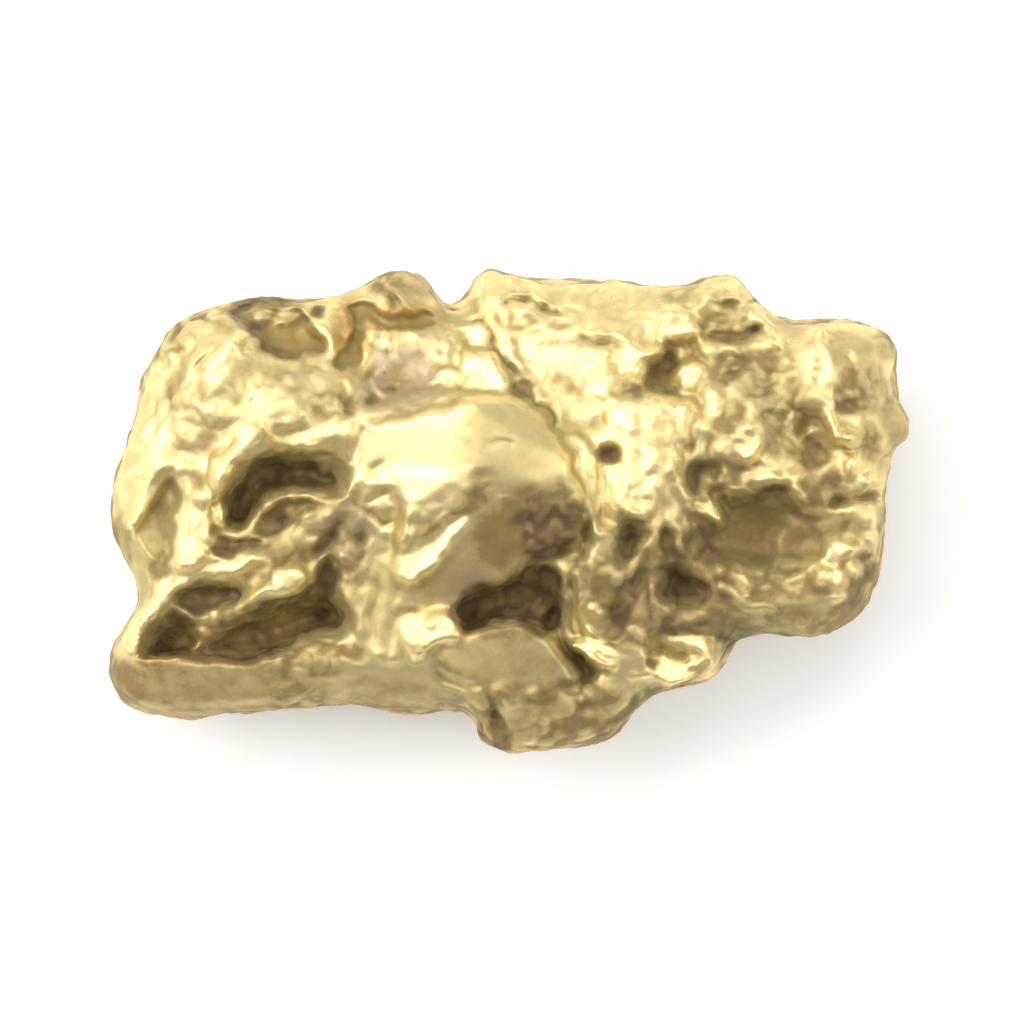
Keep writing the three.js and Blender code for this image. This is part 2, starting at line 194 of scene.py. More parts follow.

# Pockets: hollows with steep walls. Each has a depth, the width of its wall, how much dirt it
# holds, which also paints the shade in it, from 0 to 1, and an outline.
POCKETS = [
    # left: the crescent and the bands below it
    (0.42, 0.18, 0.58, [(-5.5, -0.3), (-5.74, -0.05), (-5.7, 0.3), (-5.38, 0.72), (-5.06, 1.06),
     (-4.65, 1.1), (-4.15, 1.0), (-3.92, 0.98), (-3.78, 0.86), (-3.55, 0.78), (-3.45, 0.62),
     (-3.75, 0.44), (-4.2, 0.5), (-4.7, 0.4), (-5.05, 0.1), (-5.22, -0.2)]),
    (0.3, 0.12, 0.55, [(-5.15, -0.38), (-4.95, 0.0), (-4.5, 0.28), (-3.75, 0.22), (-4.0, -0.02),
     (-4.3, -0.2), (-4.55, -0.4), (-4.9, -0.45)]),
    (0.25, 0.1, 0.72, [(-5.95, -0.75), (-5.7, -0.45), (-5.2, -0.55), (-4.8, -0.5), (-4.9, -0.7),
     (-5.3, -0.75), (-5.6, -0.88)]),
    # left: the corner, the olive shelf and the main trench
    (0.3, 0.12, 0.55, [(-7.3, -2.85), (-7.05, -2.35), (-6.78, -1.9), (-6.5, -2.0), (-6.3, -2.3),
     (-6.22, -2.6), (-6.6, -2.85), (-7.0, -2.85)]),
    (0.3, 0.12, 0.6, [(-6.65, -1.75), (-6.4, -1.45), (-6.0, -1.4), (-5.5, -1.48), (-5.2, -1.5),
     (-5.45, -1.78), (-5.75, -1.9), (-6.1, -2.05), (-6.35, -1.95)]),
    (0.45, 0.18, 0.6, [(-6.15, -2.62), (-5.8, -2.42), (-5.5, -2.2), (-5.15, -1.85), (-4.8, -1.68),
     (-4.3, -1.62), (-4.0, -1.5), (-3.95, -1.2), (-3.7, -0.9), (-3.5, -0.97), (-3.4, -1.3), (-3.6, -1.7),
     (-3.42, -1.95), (-3.3, -2.15), (-3.45, -2.3), (-3.8, -2.35), (-4.2, -2.5), (-4.5, -2.75),
     (-4.9, -2.95), (-5.5, -3.0), (-6.2, -2.95), (-6.6, -2.9), (-6.3, -2.75)]),
    (0.05, 0.1, 0.88, [(-7.25, -2.78), (-6.9, -2.62), (-6.3, -2.74), (-5.5, -2.8), (-4.9, -2.72),
     (-4.5, -2.55), (-4.35, -2.6), (-4.9, -2.93), (-5.5, -2.98), (-6.2, -2.93), (-7.0, -2.84)]),
    # top left: the two stained pockets and the round hole between them
    (0.3, 0.1, 0.6, [(-5.6, 3.9), (-5.3, 3.65), (-4.97, 3.45), (-4.95, 3.2), (-4.6, 3.05), (-4.3, 3.05),
     (-4.0, 3.1), (-3.75, 3.15), (-3.7, 3.35), (-3.9, 3.6), (-4.1, 3.9), (-4.3, 4.05), (-4.6, 4.0),
     (-5.0, 4.1), (-5.35, 4.12)]),
    (0.22, 0.1, 0.65, [(-3.25, 4.1), (-2.8, 4.12), (-2.5, 3.9), (-1.95, 3.98), (-1.55, 3.9), (-1.5, 3.75),
     (-2.0, 3.65), (-2.5, 3.65), (-2.88, 3.8), (-2.95, 3.3), (-3.0, 3.0), (-3.3, 2.8), (-3.58, 2.95),
     (-3.5, 3.1), (-3.2, 3.4), (-3.15, 3.8)]),
    # centre: the cave under the boulder, with the channel that leads out of it
    (0.45, 0.12, 0.78, [(-1.0, -2.4), (-1.05, -2.05), (-1.0, -1.75), (-0.75, -1.5), (-0.6, -1.38),
     (-0.3, -1.45), (0.0, -1.3), (0.4, -1.05), (0.7, -1.08), (0.95, -1.2), (1.0, -1.6), (0.98, -2.0),
     (0.85, -2.35), (0.6, -2.42), (0.3, -2.32), (0.1, -2.25), (0.0, -2.1), (-0.3, -2.2), (-0.6, -2.3)]),
    (0.22, 0.1, 0.46, [(0.7, -2.0), (0.98, -1.9), (1.02, -2.4), (1.2, -2.7), (1.5, -2.95), (1.65, -3.2),
     (1.48, -3.42), (1.28, -3.42), (1.28, -3.2), (1.1, -2.95), (0.85, -2.7), (0.6, -2.42)]),
    # the wide spot of the crack
    (0.22, 0.08, 0.55, [(-0.06, 2.36), (0.1, 2.62), (0.38, 2.55), (0.4, 2.38), (0.33, 2.26),
     (0.1, 2.24)]),
    # right: the hole beside the flutes, and the moat round the round knob
    (0.25, 0.08, 0.5, [(1.68, 1.28), (1.76, 1.02), (2.08, 0.98), (2.15, 1.2), (1.93, 1.32)]),
    (0.2, 0.1, 0.42, [(2.55, 2.5), (2.7, 2.95), (3.0, 3.1), (3.05, 3.4), (3.4, 3.35), (3.65, 3.45),
     (3.85, 3.1), (3.95, 2.85), (3.9, 2.6), (3.8, 2.3), (3.78, 2.0), (3.65, 1.85), (3.6, 2.18),
     (3.15, 2.22), (2.9, 2.4), (2.6, 2.35)]),
    # right: the swirl, and the basin with the dark cleft above it
    (0.14, 0.12, 0.44, [(4.95, 2.0), (5.0, 1.6), (5.3, 1.5), (5.5, 1.35), (5.75, 0.9), (6.0, 0.75),
     (6.3, 1.1), (6.15, 1.5), (6.1, 1.9), (5.8, 2.08), (5.3, 2.05)]),
    (0.26, 0.3, 0.7, [(4.2, 0.05), (4.4, 0.35), (4.8, 0.28), (5.0, 0.5), (5.35, 0.55), (5.6, 0.25),
     (5.75, -0.1), (5.5, -0.3), (5.3, -0.6), (5.35, -0.9), (5.1, -1.02), (4.6, -0.98), (4.0, -0.95),
     (3.6, -0.9), (3.5, -0.6), (3.6, -0.2), (3.9, -0.3), (4.15, -0.3)]),
    (0.28, 0.1, 0.6, [(3.52, 0.95), (3.5, 0.4), (3.9, 0.25), (4.0, 0.0), (4.3, 0.0), (4.28, 0.38),
     (4.1, 0.5), (4.1, 0.95)]),
    (0.14, 0.08, 0.45, [(6.33, 2.35), (6.48, 2.47), (6.7, 2.25), (6.86, 2.0), (6.7, 1.98), (6.45, 2.1)]),
    # lower right: the holes either side of the thin ridges, and the deepest one
    (0.2, 0.12, 0.52, [(2.15, 0.0), (2.08, -0.5), (2.15, -0.92), (2.4, -0.82), (2.6, -0.5), (2.58, -0.18),
     (2.3, 0.02)]),
    (0.22, 0.1, 0.65, [(2.9, -0.42), (3.0, -0.25), (3.18, -0.5), (3.2, -0.9), (3.0, -0.95)]),
    (0.34, 0.25, 0.82, [(2.9, -1.65), (3.0, -1.3), (3.2, -1.1), (3.5, -1.2), (3.9, -1.5), (3.9, -1.8),
     (3.5, -1.95), (3.3, -1.95), (3.1, -1.72)]),
    (0.22, 0.2, 0.72, [(2.1, -1.4), (2.5, -1.1), (2.75, -1.2), (2.7, -1.7), (2.55, -2.1), (2.1, -2.3),
     (1.9, -2.0)]),
]

# Flats: small clean patches that stand above the ground with its film and painted shade. Each has
# the width of its edge, its rise above the ground under it, its slopes to the right and up the face, and an
# outline.
FLATS = [
    # upper left: slanting lumps, and the crests round the crescent
    (0.09, 0.048, 0.3, -0.1, [(-6.5, 2.35), (-6.45, 2.75), (-6.15, 3.15), (-5.92, 3.32), (-6.0, 3.05),
     (-6.25, 2.7), (-6.32, 2.4)]),
    (0.105, 0.06, 0.3, -0.1, [(-6.1, 2.7), (-5.9, 3.1), (-5.6, 3.45), (-5.42, 3.35), (-5.45, 3.0),
     (-5.7, 2.65), (-5.95, 2.55)]),
    (0.105, 0.06, 0.25, -0.1, [(-6.12, 2.05), (-5.95, 2.27), (-5.6, 2.25), (-5.48, 2.0), (-5.65, 1.76),
     (-5.95, 1.78)]),
    (0.09, 0.042, 0.3, -0.1, [(-5.3, 2.22), (-5.0, 2.5), (-4.78, 2.54), (-4.85, 2.35), (-5.1, 2.12),
     (-5.25, 2.08)]),
    (0.12, 0.05, 0.24, -0.12, [(-5.92, 0.6), (-5.88, 1.0), (-5.5, 1.42), (-5.15, 1.72), (-4.95, 1.62),
     (-5.02, 1.3), (-5.34, 0.98), (-5.62, 0.6), (-5.78, 0.42)]),
    (0.16, 0.13, 0.12, -0.04, [(-4.75, 1.62), (-4.3, 1.6), (-4.0, 1.64), (-3.6, 1.76), (-3.46, 1.48),
     (-3.8, 1.27), (-4.15, 1.2), (-4.6, 1.28)]),
    (0.14, 0.02, 0.2, -0.1, [(-4.85, 1.8), (-4.65, 2.15), (-4.4, 2.3), (-4.15, 2.05), (-4.25, 1.75),
     (-4.6, 1.65)]),
    (0.09, 0.018, 0.3, -0.1, [(-3.4, 1.75), (-3.1, 1.75), (-3.05, 1.45), (-3.35, 1.35)]),
    # left: the crest that runs to the corner, the column above it, and patches in the hollows
    (0.105, 0.072, 0.35, -0.15, [(-7.58, -2.65), (-7.32, -2.0), (-6.9, -1.5), (-6.4, -1.08),
     (-6.0, -0.72), (-5.92, -1.0), (-6.35, -1.35), (-6.85, -1.75), (-7.2, -2.25), (-7.42, -2.75)]),
    (0.105, 0.048, 0.3, -0.1, [(-6.68, 0.1), (-6.12, 0.15), (-6.05, -0.3), (-6.0, -0.8), (-6.35, -1.15),
     (-6.6, -1.0), (-6.72, -0.4)]),
    (0.075, 0.06, 0.25, -0.1, [(-7.62, -0.3), (-7.35, 0.2), (-7.0, 0.76), (-6.5, 0.96), (-6.42, 0.76),
     (-6.8, 0.6), (-7.1, 0.25), (-7.42, -0.32)]),
    (0.075, 0.06, 0.3, -0.1, [(-5.93, 0.22), (-5.66, 0.16), (-5.66, -0.24), (-5.93, -0.16)]),
    (0.09, 0.06, 0.25, -0.1, [(-4.72, -1.35), (-4.5, -1.15), (-4.2, -1.1), (-4.05, -1.3), (-4.3, -1.5),
     (-4.6, -1.55)]),
    (0.09, 0.048, 0.25, -0.1, [(-6.02, -0.98), (-5.5, -1.02), (-5.12, -0.78), (-5.02, -0.95),
     (-5.35, -1.25), (-5.9, -1.32)]),
    # either side of the crack, and the plateau right of it
    (0.075, 0.042, 0.3, -0.15, [(-1.02, 3.52), (-0.85, 3.75), (-0.43, 3.7), (-0.43, 3.35), (-0.7, 3.22),
     (-1.0, 3.32)]),
    (0.09, 0.042, 0.3, -0.15, [(-0.95, 3.15), (-0.42, 3.22), (-0.25, 2.92), (-0.2, 2.52), (-0.6, 2.36),
     (-1.0, 2.42), (-1.05, 2.8)]),
    (0.09, 0.036, 0.25, -0.1, [(-1.55, 2.62), (-1.35, 2.9), (-1.08, 2.8), (-1.02, 2.5), (-1.3, 2.42)]),
    # the tongue's bright flank, and the cluster by the cave
    (0.16, 0.03, 0.36, -0.08, [(-0.85, -0.12), (-0.95, -0.42), (-1.25, -0.78), (-1.55, -1.12),
     (-1.9, -1.38), (-2.3, -1.28), (-2.3, -0.85), (-1.95, -0.68), (-1.6, -0.42), (-1.25, -0.15),
     (-1.0, -0.05)]),
    (0.2, 0.08, 0.36, 0.06, [(-2.35, 0.8), (-1.25, 0.65), (-1.5, 0.2), (-1.9, -0.2), (-2.05, -0.55),
     (-2.2, -0.5), (-2.22, 0.1)]),
    (0.09, 0.072, 0.3, -0.1, [(-2.2, -2.2), (-1.9, -2.02), (-1.5, -1.98), (-1.1, -2.15), (-1.08, -2.5),
     (-1.5, -2.55), (-1.75, -2.8), (-1.95, -2.85), (-2.15, -2.5)]),
    # round the flutes, and the round knob in its moat
    (0.09, 0.048, 0.25, -0.1, [(3.18, 2.16), (3.52, 2.2), (3.62, 1.9), (3.52, 1.42), (3.3, 1.38),
     (3.2, 1.7)]),
    (0.105, 0.36, 0.3, -0.15, [(3.18, 2.62), (3.3, 2.92), (3.6, 3.02), (3.86, 2.85), (3.85, 2.55),
     (3.65, 2.36), (3.35, 2.36)]),
    (0.09, 0.06, 0.3, -0.15, [(2.9, 3.75), (3.0, 3.98), (3.35, 4.0), (3.72, 3.62), (3.62, 3.4),
     (3.3, 3.45), (3.0, 3.58)]),
    (0.09, 0.048, 0.25, -0.1, [(2.0, 3.3), (2.4, 3.32), (2.98, 3.25), (2.9, 3.08), (2.52, 3.0),
     (2.42, 2.7), (2.1, 2.7)]),
    (0.075, 0.06, 0.3, -0.1, [(3.83, 2.42), (4.1, 2.42), (4.16, 2.0), (4.0, 1.88), (3.84, 2.05)]),
    (0.075, 0.072, 0.3, -0.15, [(4.38, 1.42), (4.65, 1.32), (4.92, 1.44), (4.85, 1.1), (4.66, 0.92),
     (4.48, 1.1)]),
    (0.075, 0.06, 0.3, -0.15, [(4.62, 4.02), (4.88, 3.97), (5.1, 3.75), (4.98, 3.68), (4.74, 3.82)]),
    (0.075, 0.06, 0.3, -0.1, [(5.08, 3.48), (5.2, 3.56), (5.38, 3.3), (5.2, 3.18), (5.08, 3.28)]),
    (0.075, 0.072, 0.3, -0.15, [(3.92, 3.3), (4.28, 3.42), (4.48, 3.22), (4.2, 3.12)]),
    # right: the blade, and bright patches below it
    (0.09, 0.096, 0.35, -0.1, [(5.97, 3.75), (6.17, 3.75), (6.24, 3.1), (6.3, 2.6), (6.05, 2.6),
     (6.02, 3.1)]),
    (0.09, 0.096, 0.35, -0.1, [(6.05, 2.7), (6.28, 2.7), (6.33, 2.3), (6.46, 1.8), (6.78, 1.55),
     (6.68, 1.35), (6.38, 1.42), (6.14, 1.9)]),
    (0.075, 0.048, 0.3, -0.1, [(6.58, 1.15), (6.82, 1.2), (6.92, 0.8), (6.7, 0.72), (6.6, 0.9)]),
    (0.09, 0.06, 0.3, -0.15, [(6.1, -1.0), (6.2, -0.6), (6.5, -0.48), (6.82, -0.75), (6.62, -1.08),
     (6.5, -1.35), (6.15, -1.3)]),
    (0.075, 0.072, 0.25, -0.15, [(3.55, 0.2), (3.85, 0.25), (4.2, -0.08), (4.15, -0.3), (3.95, -0.25),
     (3.8, 0.0)]),
    # folds of the lower right corner
    (0.075, 0.072, 0.2, -0.2, [(2.95, -2.5), (3.5, -2.43), (3.9, -2.68), (4.02, -2.95), (3.82, -3.02),
     (3.4, -2.72)]),
    (0.075, 0.06, 0.2, -0.2, [(2.82, -3.12), (3.2, -2.95), (3.58, -3.08), (3.62, -3.3), (3.2, -3.48),
     (2.9, -3.35)]),
    (0.075, 0.06, 0.2, -0.2, [(1.15, -2.6), (1.6, -2.56), (2.1, -2.8), (2.05, -3.0), (1.8, -3.05),
     (1.5, -2.85), (1.2, -2.76)]),
]

# Folds: ridges, and grooves where the height is negative. Each has a half width, a height and
# a path.
FOLDS = [
    # left: crests round the crescent and the trench
    (0.2, 0.1, [(-5.85, 0.7), (-5.5, 1.1), (-5.2, 1.45), (-4.95, 1.65)]),
    (0.14, 0.06, [(-5.0, 1.65), (-4.8, 1.9), (-4.55, 2.15)]),
    (0.16, 0.09, [(-5.5, -0.42), (-5.2, -0.25), (-4.9, 0.2), (-4.3, 0.38), (-3.5, 0.34), (-3.1, 0.6)]),
    (0.19, 0.12, [(-4.95, -0.85), (-4.6, -0.62), (-3.9, -0.32), (-3.5, 0.08), (-3.15, 0.45)]),
    (0.2, 0.14, [(-5.9, -1.15), (-5.5, -1.1), (-5.15, -0.9)]),
    (0.14, -0.2, [(-4.5, -1.0), (-4.1, -0.88), (-3.65, -0.6), (-3.4, -0.2)]),
    (0.18, 0.15, [(-7.52, -2.8), (-7.35, -2.25), (-6.95, -1.75), (-6.4, -1.3), (-6.05, -0.9)]),
    (0.15, 0.08, [(-6.75, -1.85), (-6.45, -2.02), (-6.2, -2.4), (-6.12, -2.55)]),
    (0.2, 0.13, [(-6.15, -2.5), (-5.75, -2.28), (-5.35, -1.95), (-5.0, -1.6), (-4.6, -1.5)]),
    # left end: the bright edges of the sunk facet
    (0.12, 0.1, [(-7.6, -0.25), (-7.3, 0.25), (-6.95, 0.78), (-6.5, 0.85)]),
    (0.07, 0.1, [(-7.45, -0.42), (-7.15, -0.9)]),
    (0.25, 0.12, [(-6.35, 0.3), (-6.3, -0.5), (-6.5, -1.0)]),
    # upper left: slanting lumps with grooves between them
    (0.17, 0.08, [(-6.5, 2.4), (-6.35, 2.9), (-6.0, 3.3)]),
    (0.3, 0.08, [(-6.0, 2.4), (-5.8, 2.9), (-5.55, 3.35)]),
    (0.06, -0.06, [(-6.25, 2.85), (-6.0, 3.1), (-5.75, 3.3)]),
    (0.12, 0.04, [(-6.6, 2.0), (-6.56, 1.55), (-6.3, 1.38), (-6.1, 1.6)]),
    (0.16, -0.06, [(-6.7, 1.2), (-6.2, 1.15), (-5.9, 1.35)]),
    (0.08, -0.12, [(-3.4, 2.5), (-3.25, 2.3), (-3.2, 2.0)]),
    (0.1, -0.15, [(-5.3, 4.1), (-4.9, 4.15), (-4.5, 4.1)]),
    (0.13, 0.14, [(-3.95, 3.72), (-3.62, 3.5), (-3.55, 3.2)]),
    # the knob left of the notch
    (0.08, -0.15, [(-2.68, 4.6), (-2.42, 4.38)]),
    (0.07, 0.12, [(-2.5, 4.55), (-2.2, 4.25), (-1.95, 3.98)]),
    # the seam between the boulder and what lies left of it and above it
    (0.07, -0.1, [(-3.15, 1.0), (-3.12, 1.3), (-3.0, 1.6)]),
    (0.08, -0.12, [(-2.75, 1.82), (-2.2, 1.88), (-1.8, 1.98), (-1.4, 2.12), (-0.9, 2.2)]),
    (0.06, -0.1, [(-1.62, 2.7), (-1.45, 2.85), (-1.3, 2.92)]),
    # curls at the boulder's left foot
    (0.06, -0.07, [(-2.62, 0.95), (-2.75, 0.75), (-2.82, 0.6)]),
    (0.06, -0.1, [(-2.85, 0.2), (-2.6, 0.3), (-2.4, 0.42)]),
    (0.06, -0.12, [(-2.78, -0.02), (-2.6, -0.2), (-2.38, -0.15)]),
    (0.08, -0.07, [(-1.98, -0.62), (-1.7, -0.25), (-1.4, 0.0)]),
    # streaks of the tongue
    (0.14, 0.05, [(-2.1, 0.2), (-2.12, -0.45)]),
    (0.09, 0.05, [(-0.9, -0.15), (-1.25, -0.6), (-1.5, -1.0), (-2.0, -1.4), (-2.3, -1.9)]),
    # flutes below it
    (0.14, 0.07, [(-2.9, -1.6), (-2.95, -2.0), (-2.95, -2.4)]),
    (0.16, 0.05, [(-2.4, -1.0), (-2.5, -1.8), (-2.6, -2.7)]),
    (0.12, 0.05, [(-2.12, -1.9), (-2.2, -2.4), (-2.3, -2.9)]),
    (0.1, -0.05, [(-2.7, -1.5), (-2.78, -2.0), (-2.8, -2.5)]),
    # the crack, with its left branch
    (0.06, -0.15, [(-0.75, 3.78), (-0.55, 3.76), (-0.4, 3.55), (-0.33, 3.3), (-0.2, 3.1), (-0.05, 2.9),
     (0.05, 2.7)]),
    (0.08, -0.16, [(0.35, 2.3), (0.5, 2.12), (0.75, 2.05), (0.84, 1.9), (0.8, 1.72)]),
    (0.05, -0.1, [(-0.95, 3.6), (-0.93, 3.4), (-0.85, 3.25), (-0.6, 3.12)]),
    (0.06, -0.18, [(-0.15, 4.12), (0.05, 4.2), (0.3, 4.2), (0.45, 4.22), (0.6, 4.02), (0.9, 3.98)]),
    (0.07, -0.12, [(1.4, 3.5), (1.7, 3.38), (2.2, 3.3)]),
    (0.06, -0.08, [(0.85, 3.78), (1.1, 3.75)]),
    (0.06, -0.06, [(-0.4, 1.3), (-0.2, 1.33), (0.0, 1.36)]),
    # the ear, with the strip right of it
    (0.15, 0.1, [(1.05, 1.35), (1.2, 0.95), (1.38, 0.5), (1.52, 0.0)]),
    (0.05, -0.1, [(1.25, 1.25), (1.35, 1.02)]),
    (0.1, -0.07, [(1.35, 1.75), (1.52, 1.7), (1.75, 1.82)]),
    # flutes of the shoulder
    (0.2, 0.08, [(2.3, 2.1), (2.32, 1.5), (2.35, 0.8), (2.2, 0.3)]),
    (0.16, 0.07, [(2.72, 2.2), (2.76, 1.6), (2.8, 0.9)]),
    (0.2, 0.08, [(3.35, 2.08), (3.35, 1.55)]),
    (0.07, -0.07, [(3.08, 2.1), (3.1, 1.6)]),
    # ridges in the right half
    (0.15, 0.1, [(4.45, 1.4), (4.68, 1.02), (4.9, 1.35)]),
    (0.1, 0.1, [(3.5, 0.12), (3.75, 0.1), (3.98, -0.18)]),
    (0.08, 0.12, [(4.3, 0.4), (4.55, 0.46), (4.72, 0.36)]),
    (0.1, 0.12, [(3.2, 0.9), (3.3, 0.55), (3.4, 0.3)]),
    (0.09, 0.12, [(5.58, 1.9), (5.5, 1.65), (5.68, 1.42), (5.95, 1.6)]),
    (0.1, 0.1, [(4.95, 0.6), (5.3, 0.68), (5.58, 0.5), (5.78, 0.1)]),
    (0.15, 0.15, [(6.08, 3.3), (6.15, 2.7), (6.15, 2.2), (6.3, 1.8), (6.45, 1.5)]),
    (0.08, -0.12, [(6.65, 3.12), (6.78, 2.88)]),
    (0.07, -0.15, [(7.15, 3.45), (7.5, 3.44), (7.62, 3.2)]),
    (0.12, -0.24, [(3.85, 3.5), (4.2, 3.44), (4.5, 3.42), (4.9, 3.6)]),
    (0.1, 0.06, [(4.65, 3.95), (5.05, 3.7)]),
    (0.09, -0.14, [(4.2, 3.05), (4.6, 2.95), (4.5, 2.72)]),
    (0.1, -0.28, [(6.35, 0.2), (6.8, 0.25), (7.2, 0.3)]),
    (0.09, -0.22, [(6.55, -1.1), (6.72, -0.95), (7.05, -0.85)]),
    # the net right of the deepest hole
    (0.09, 0.1, [(4.12, -1.48), (4.4, -1.6), (4.62, -1.85), (5.1, -1.92)]),
    (0.07, 0.1, [(4.5, -1.1), (4.65, -1.4), (4.7, -1.65)]),
    (0.07, 0.1, [(5.5, -1.38), (5.75, -1.28), (5.95, -1.05)]),
    # thin ridges between the lower right holes
    (0.12, 0.1, [(2.85, -0.5), (2.6, -0.75), (2.4, -0.95), (2.1, -1.3)]),
    (0.15, 0.1, [(2.35, 0.05), (2.65, -0.18), (2.85, -0.35)]),
    (0.1, 0.1, [(3.1, -0.1), (3.3, -0.35), (3.35, -0.75)]),
    (0.12, 0.1, [(2.92, -1.3), (2.82, -1.65), (2.88, -1.8), (3.15, -1.9)]),
    # folds of the lower right corner
    (0.11, 0.1, [(2.9, -2.5), (3.3, -2.58), (3.7, -2.6), (3.92, -2.85)]),
    (0.08, -0.12, [(2.65, -2.76), (3.0, -2.76), (3.3, -2.84), (3.7, -2.8)]),
    (0.2, 0.08, [(3.0, -3.05), (3.3, -3.2), (3.1, -3.4)]),
    (0.11, 0.08, [(1.3, -2.65), (1.6, -2.66), (2.0, -2.8)]),
    (0.1, 0.12, [(1.42, -2.8), (1.82, -3.05)]),
    (0.1, 0.12, [(1.28, -1.2), (1.38, -1.6), (1.18, -2.0), (1.18, -2.35)]),
    # the lower lobe
    (0.06, 0.1, [(-0.56, -4.2), (-0.42, -4.6)]),
    (0.1, -0.2, [(-0.5, -3.6), (-0.4, -3.85), (-0.35, -4.0)]),
    # ridges and furrows across the boulder's lower face
    (0.12, 0.07, [(0.15, -1.0), (0.5, -0.6), (0.85, -0.3)]),
    (0.08, -0.06, [(-0.2, 0.38), (0.2, 0.4), (0.5, 0.46)]),
]

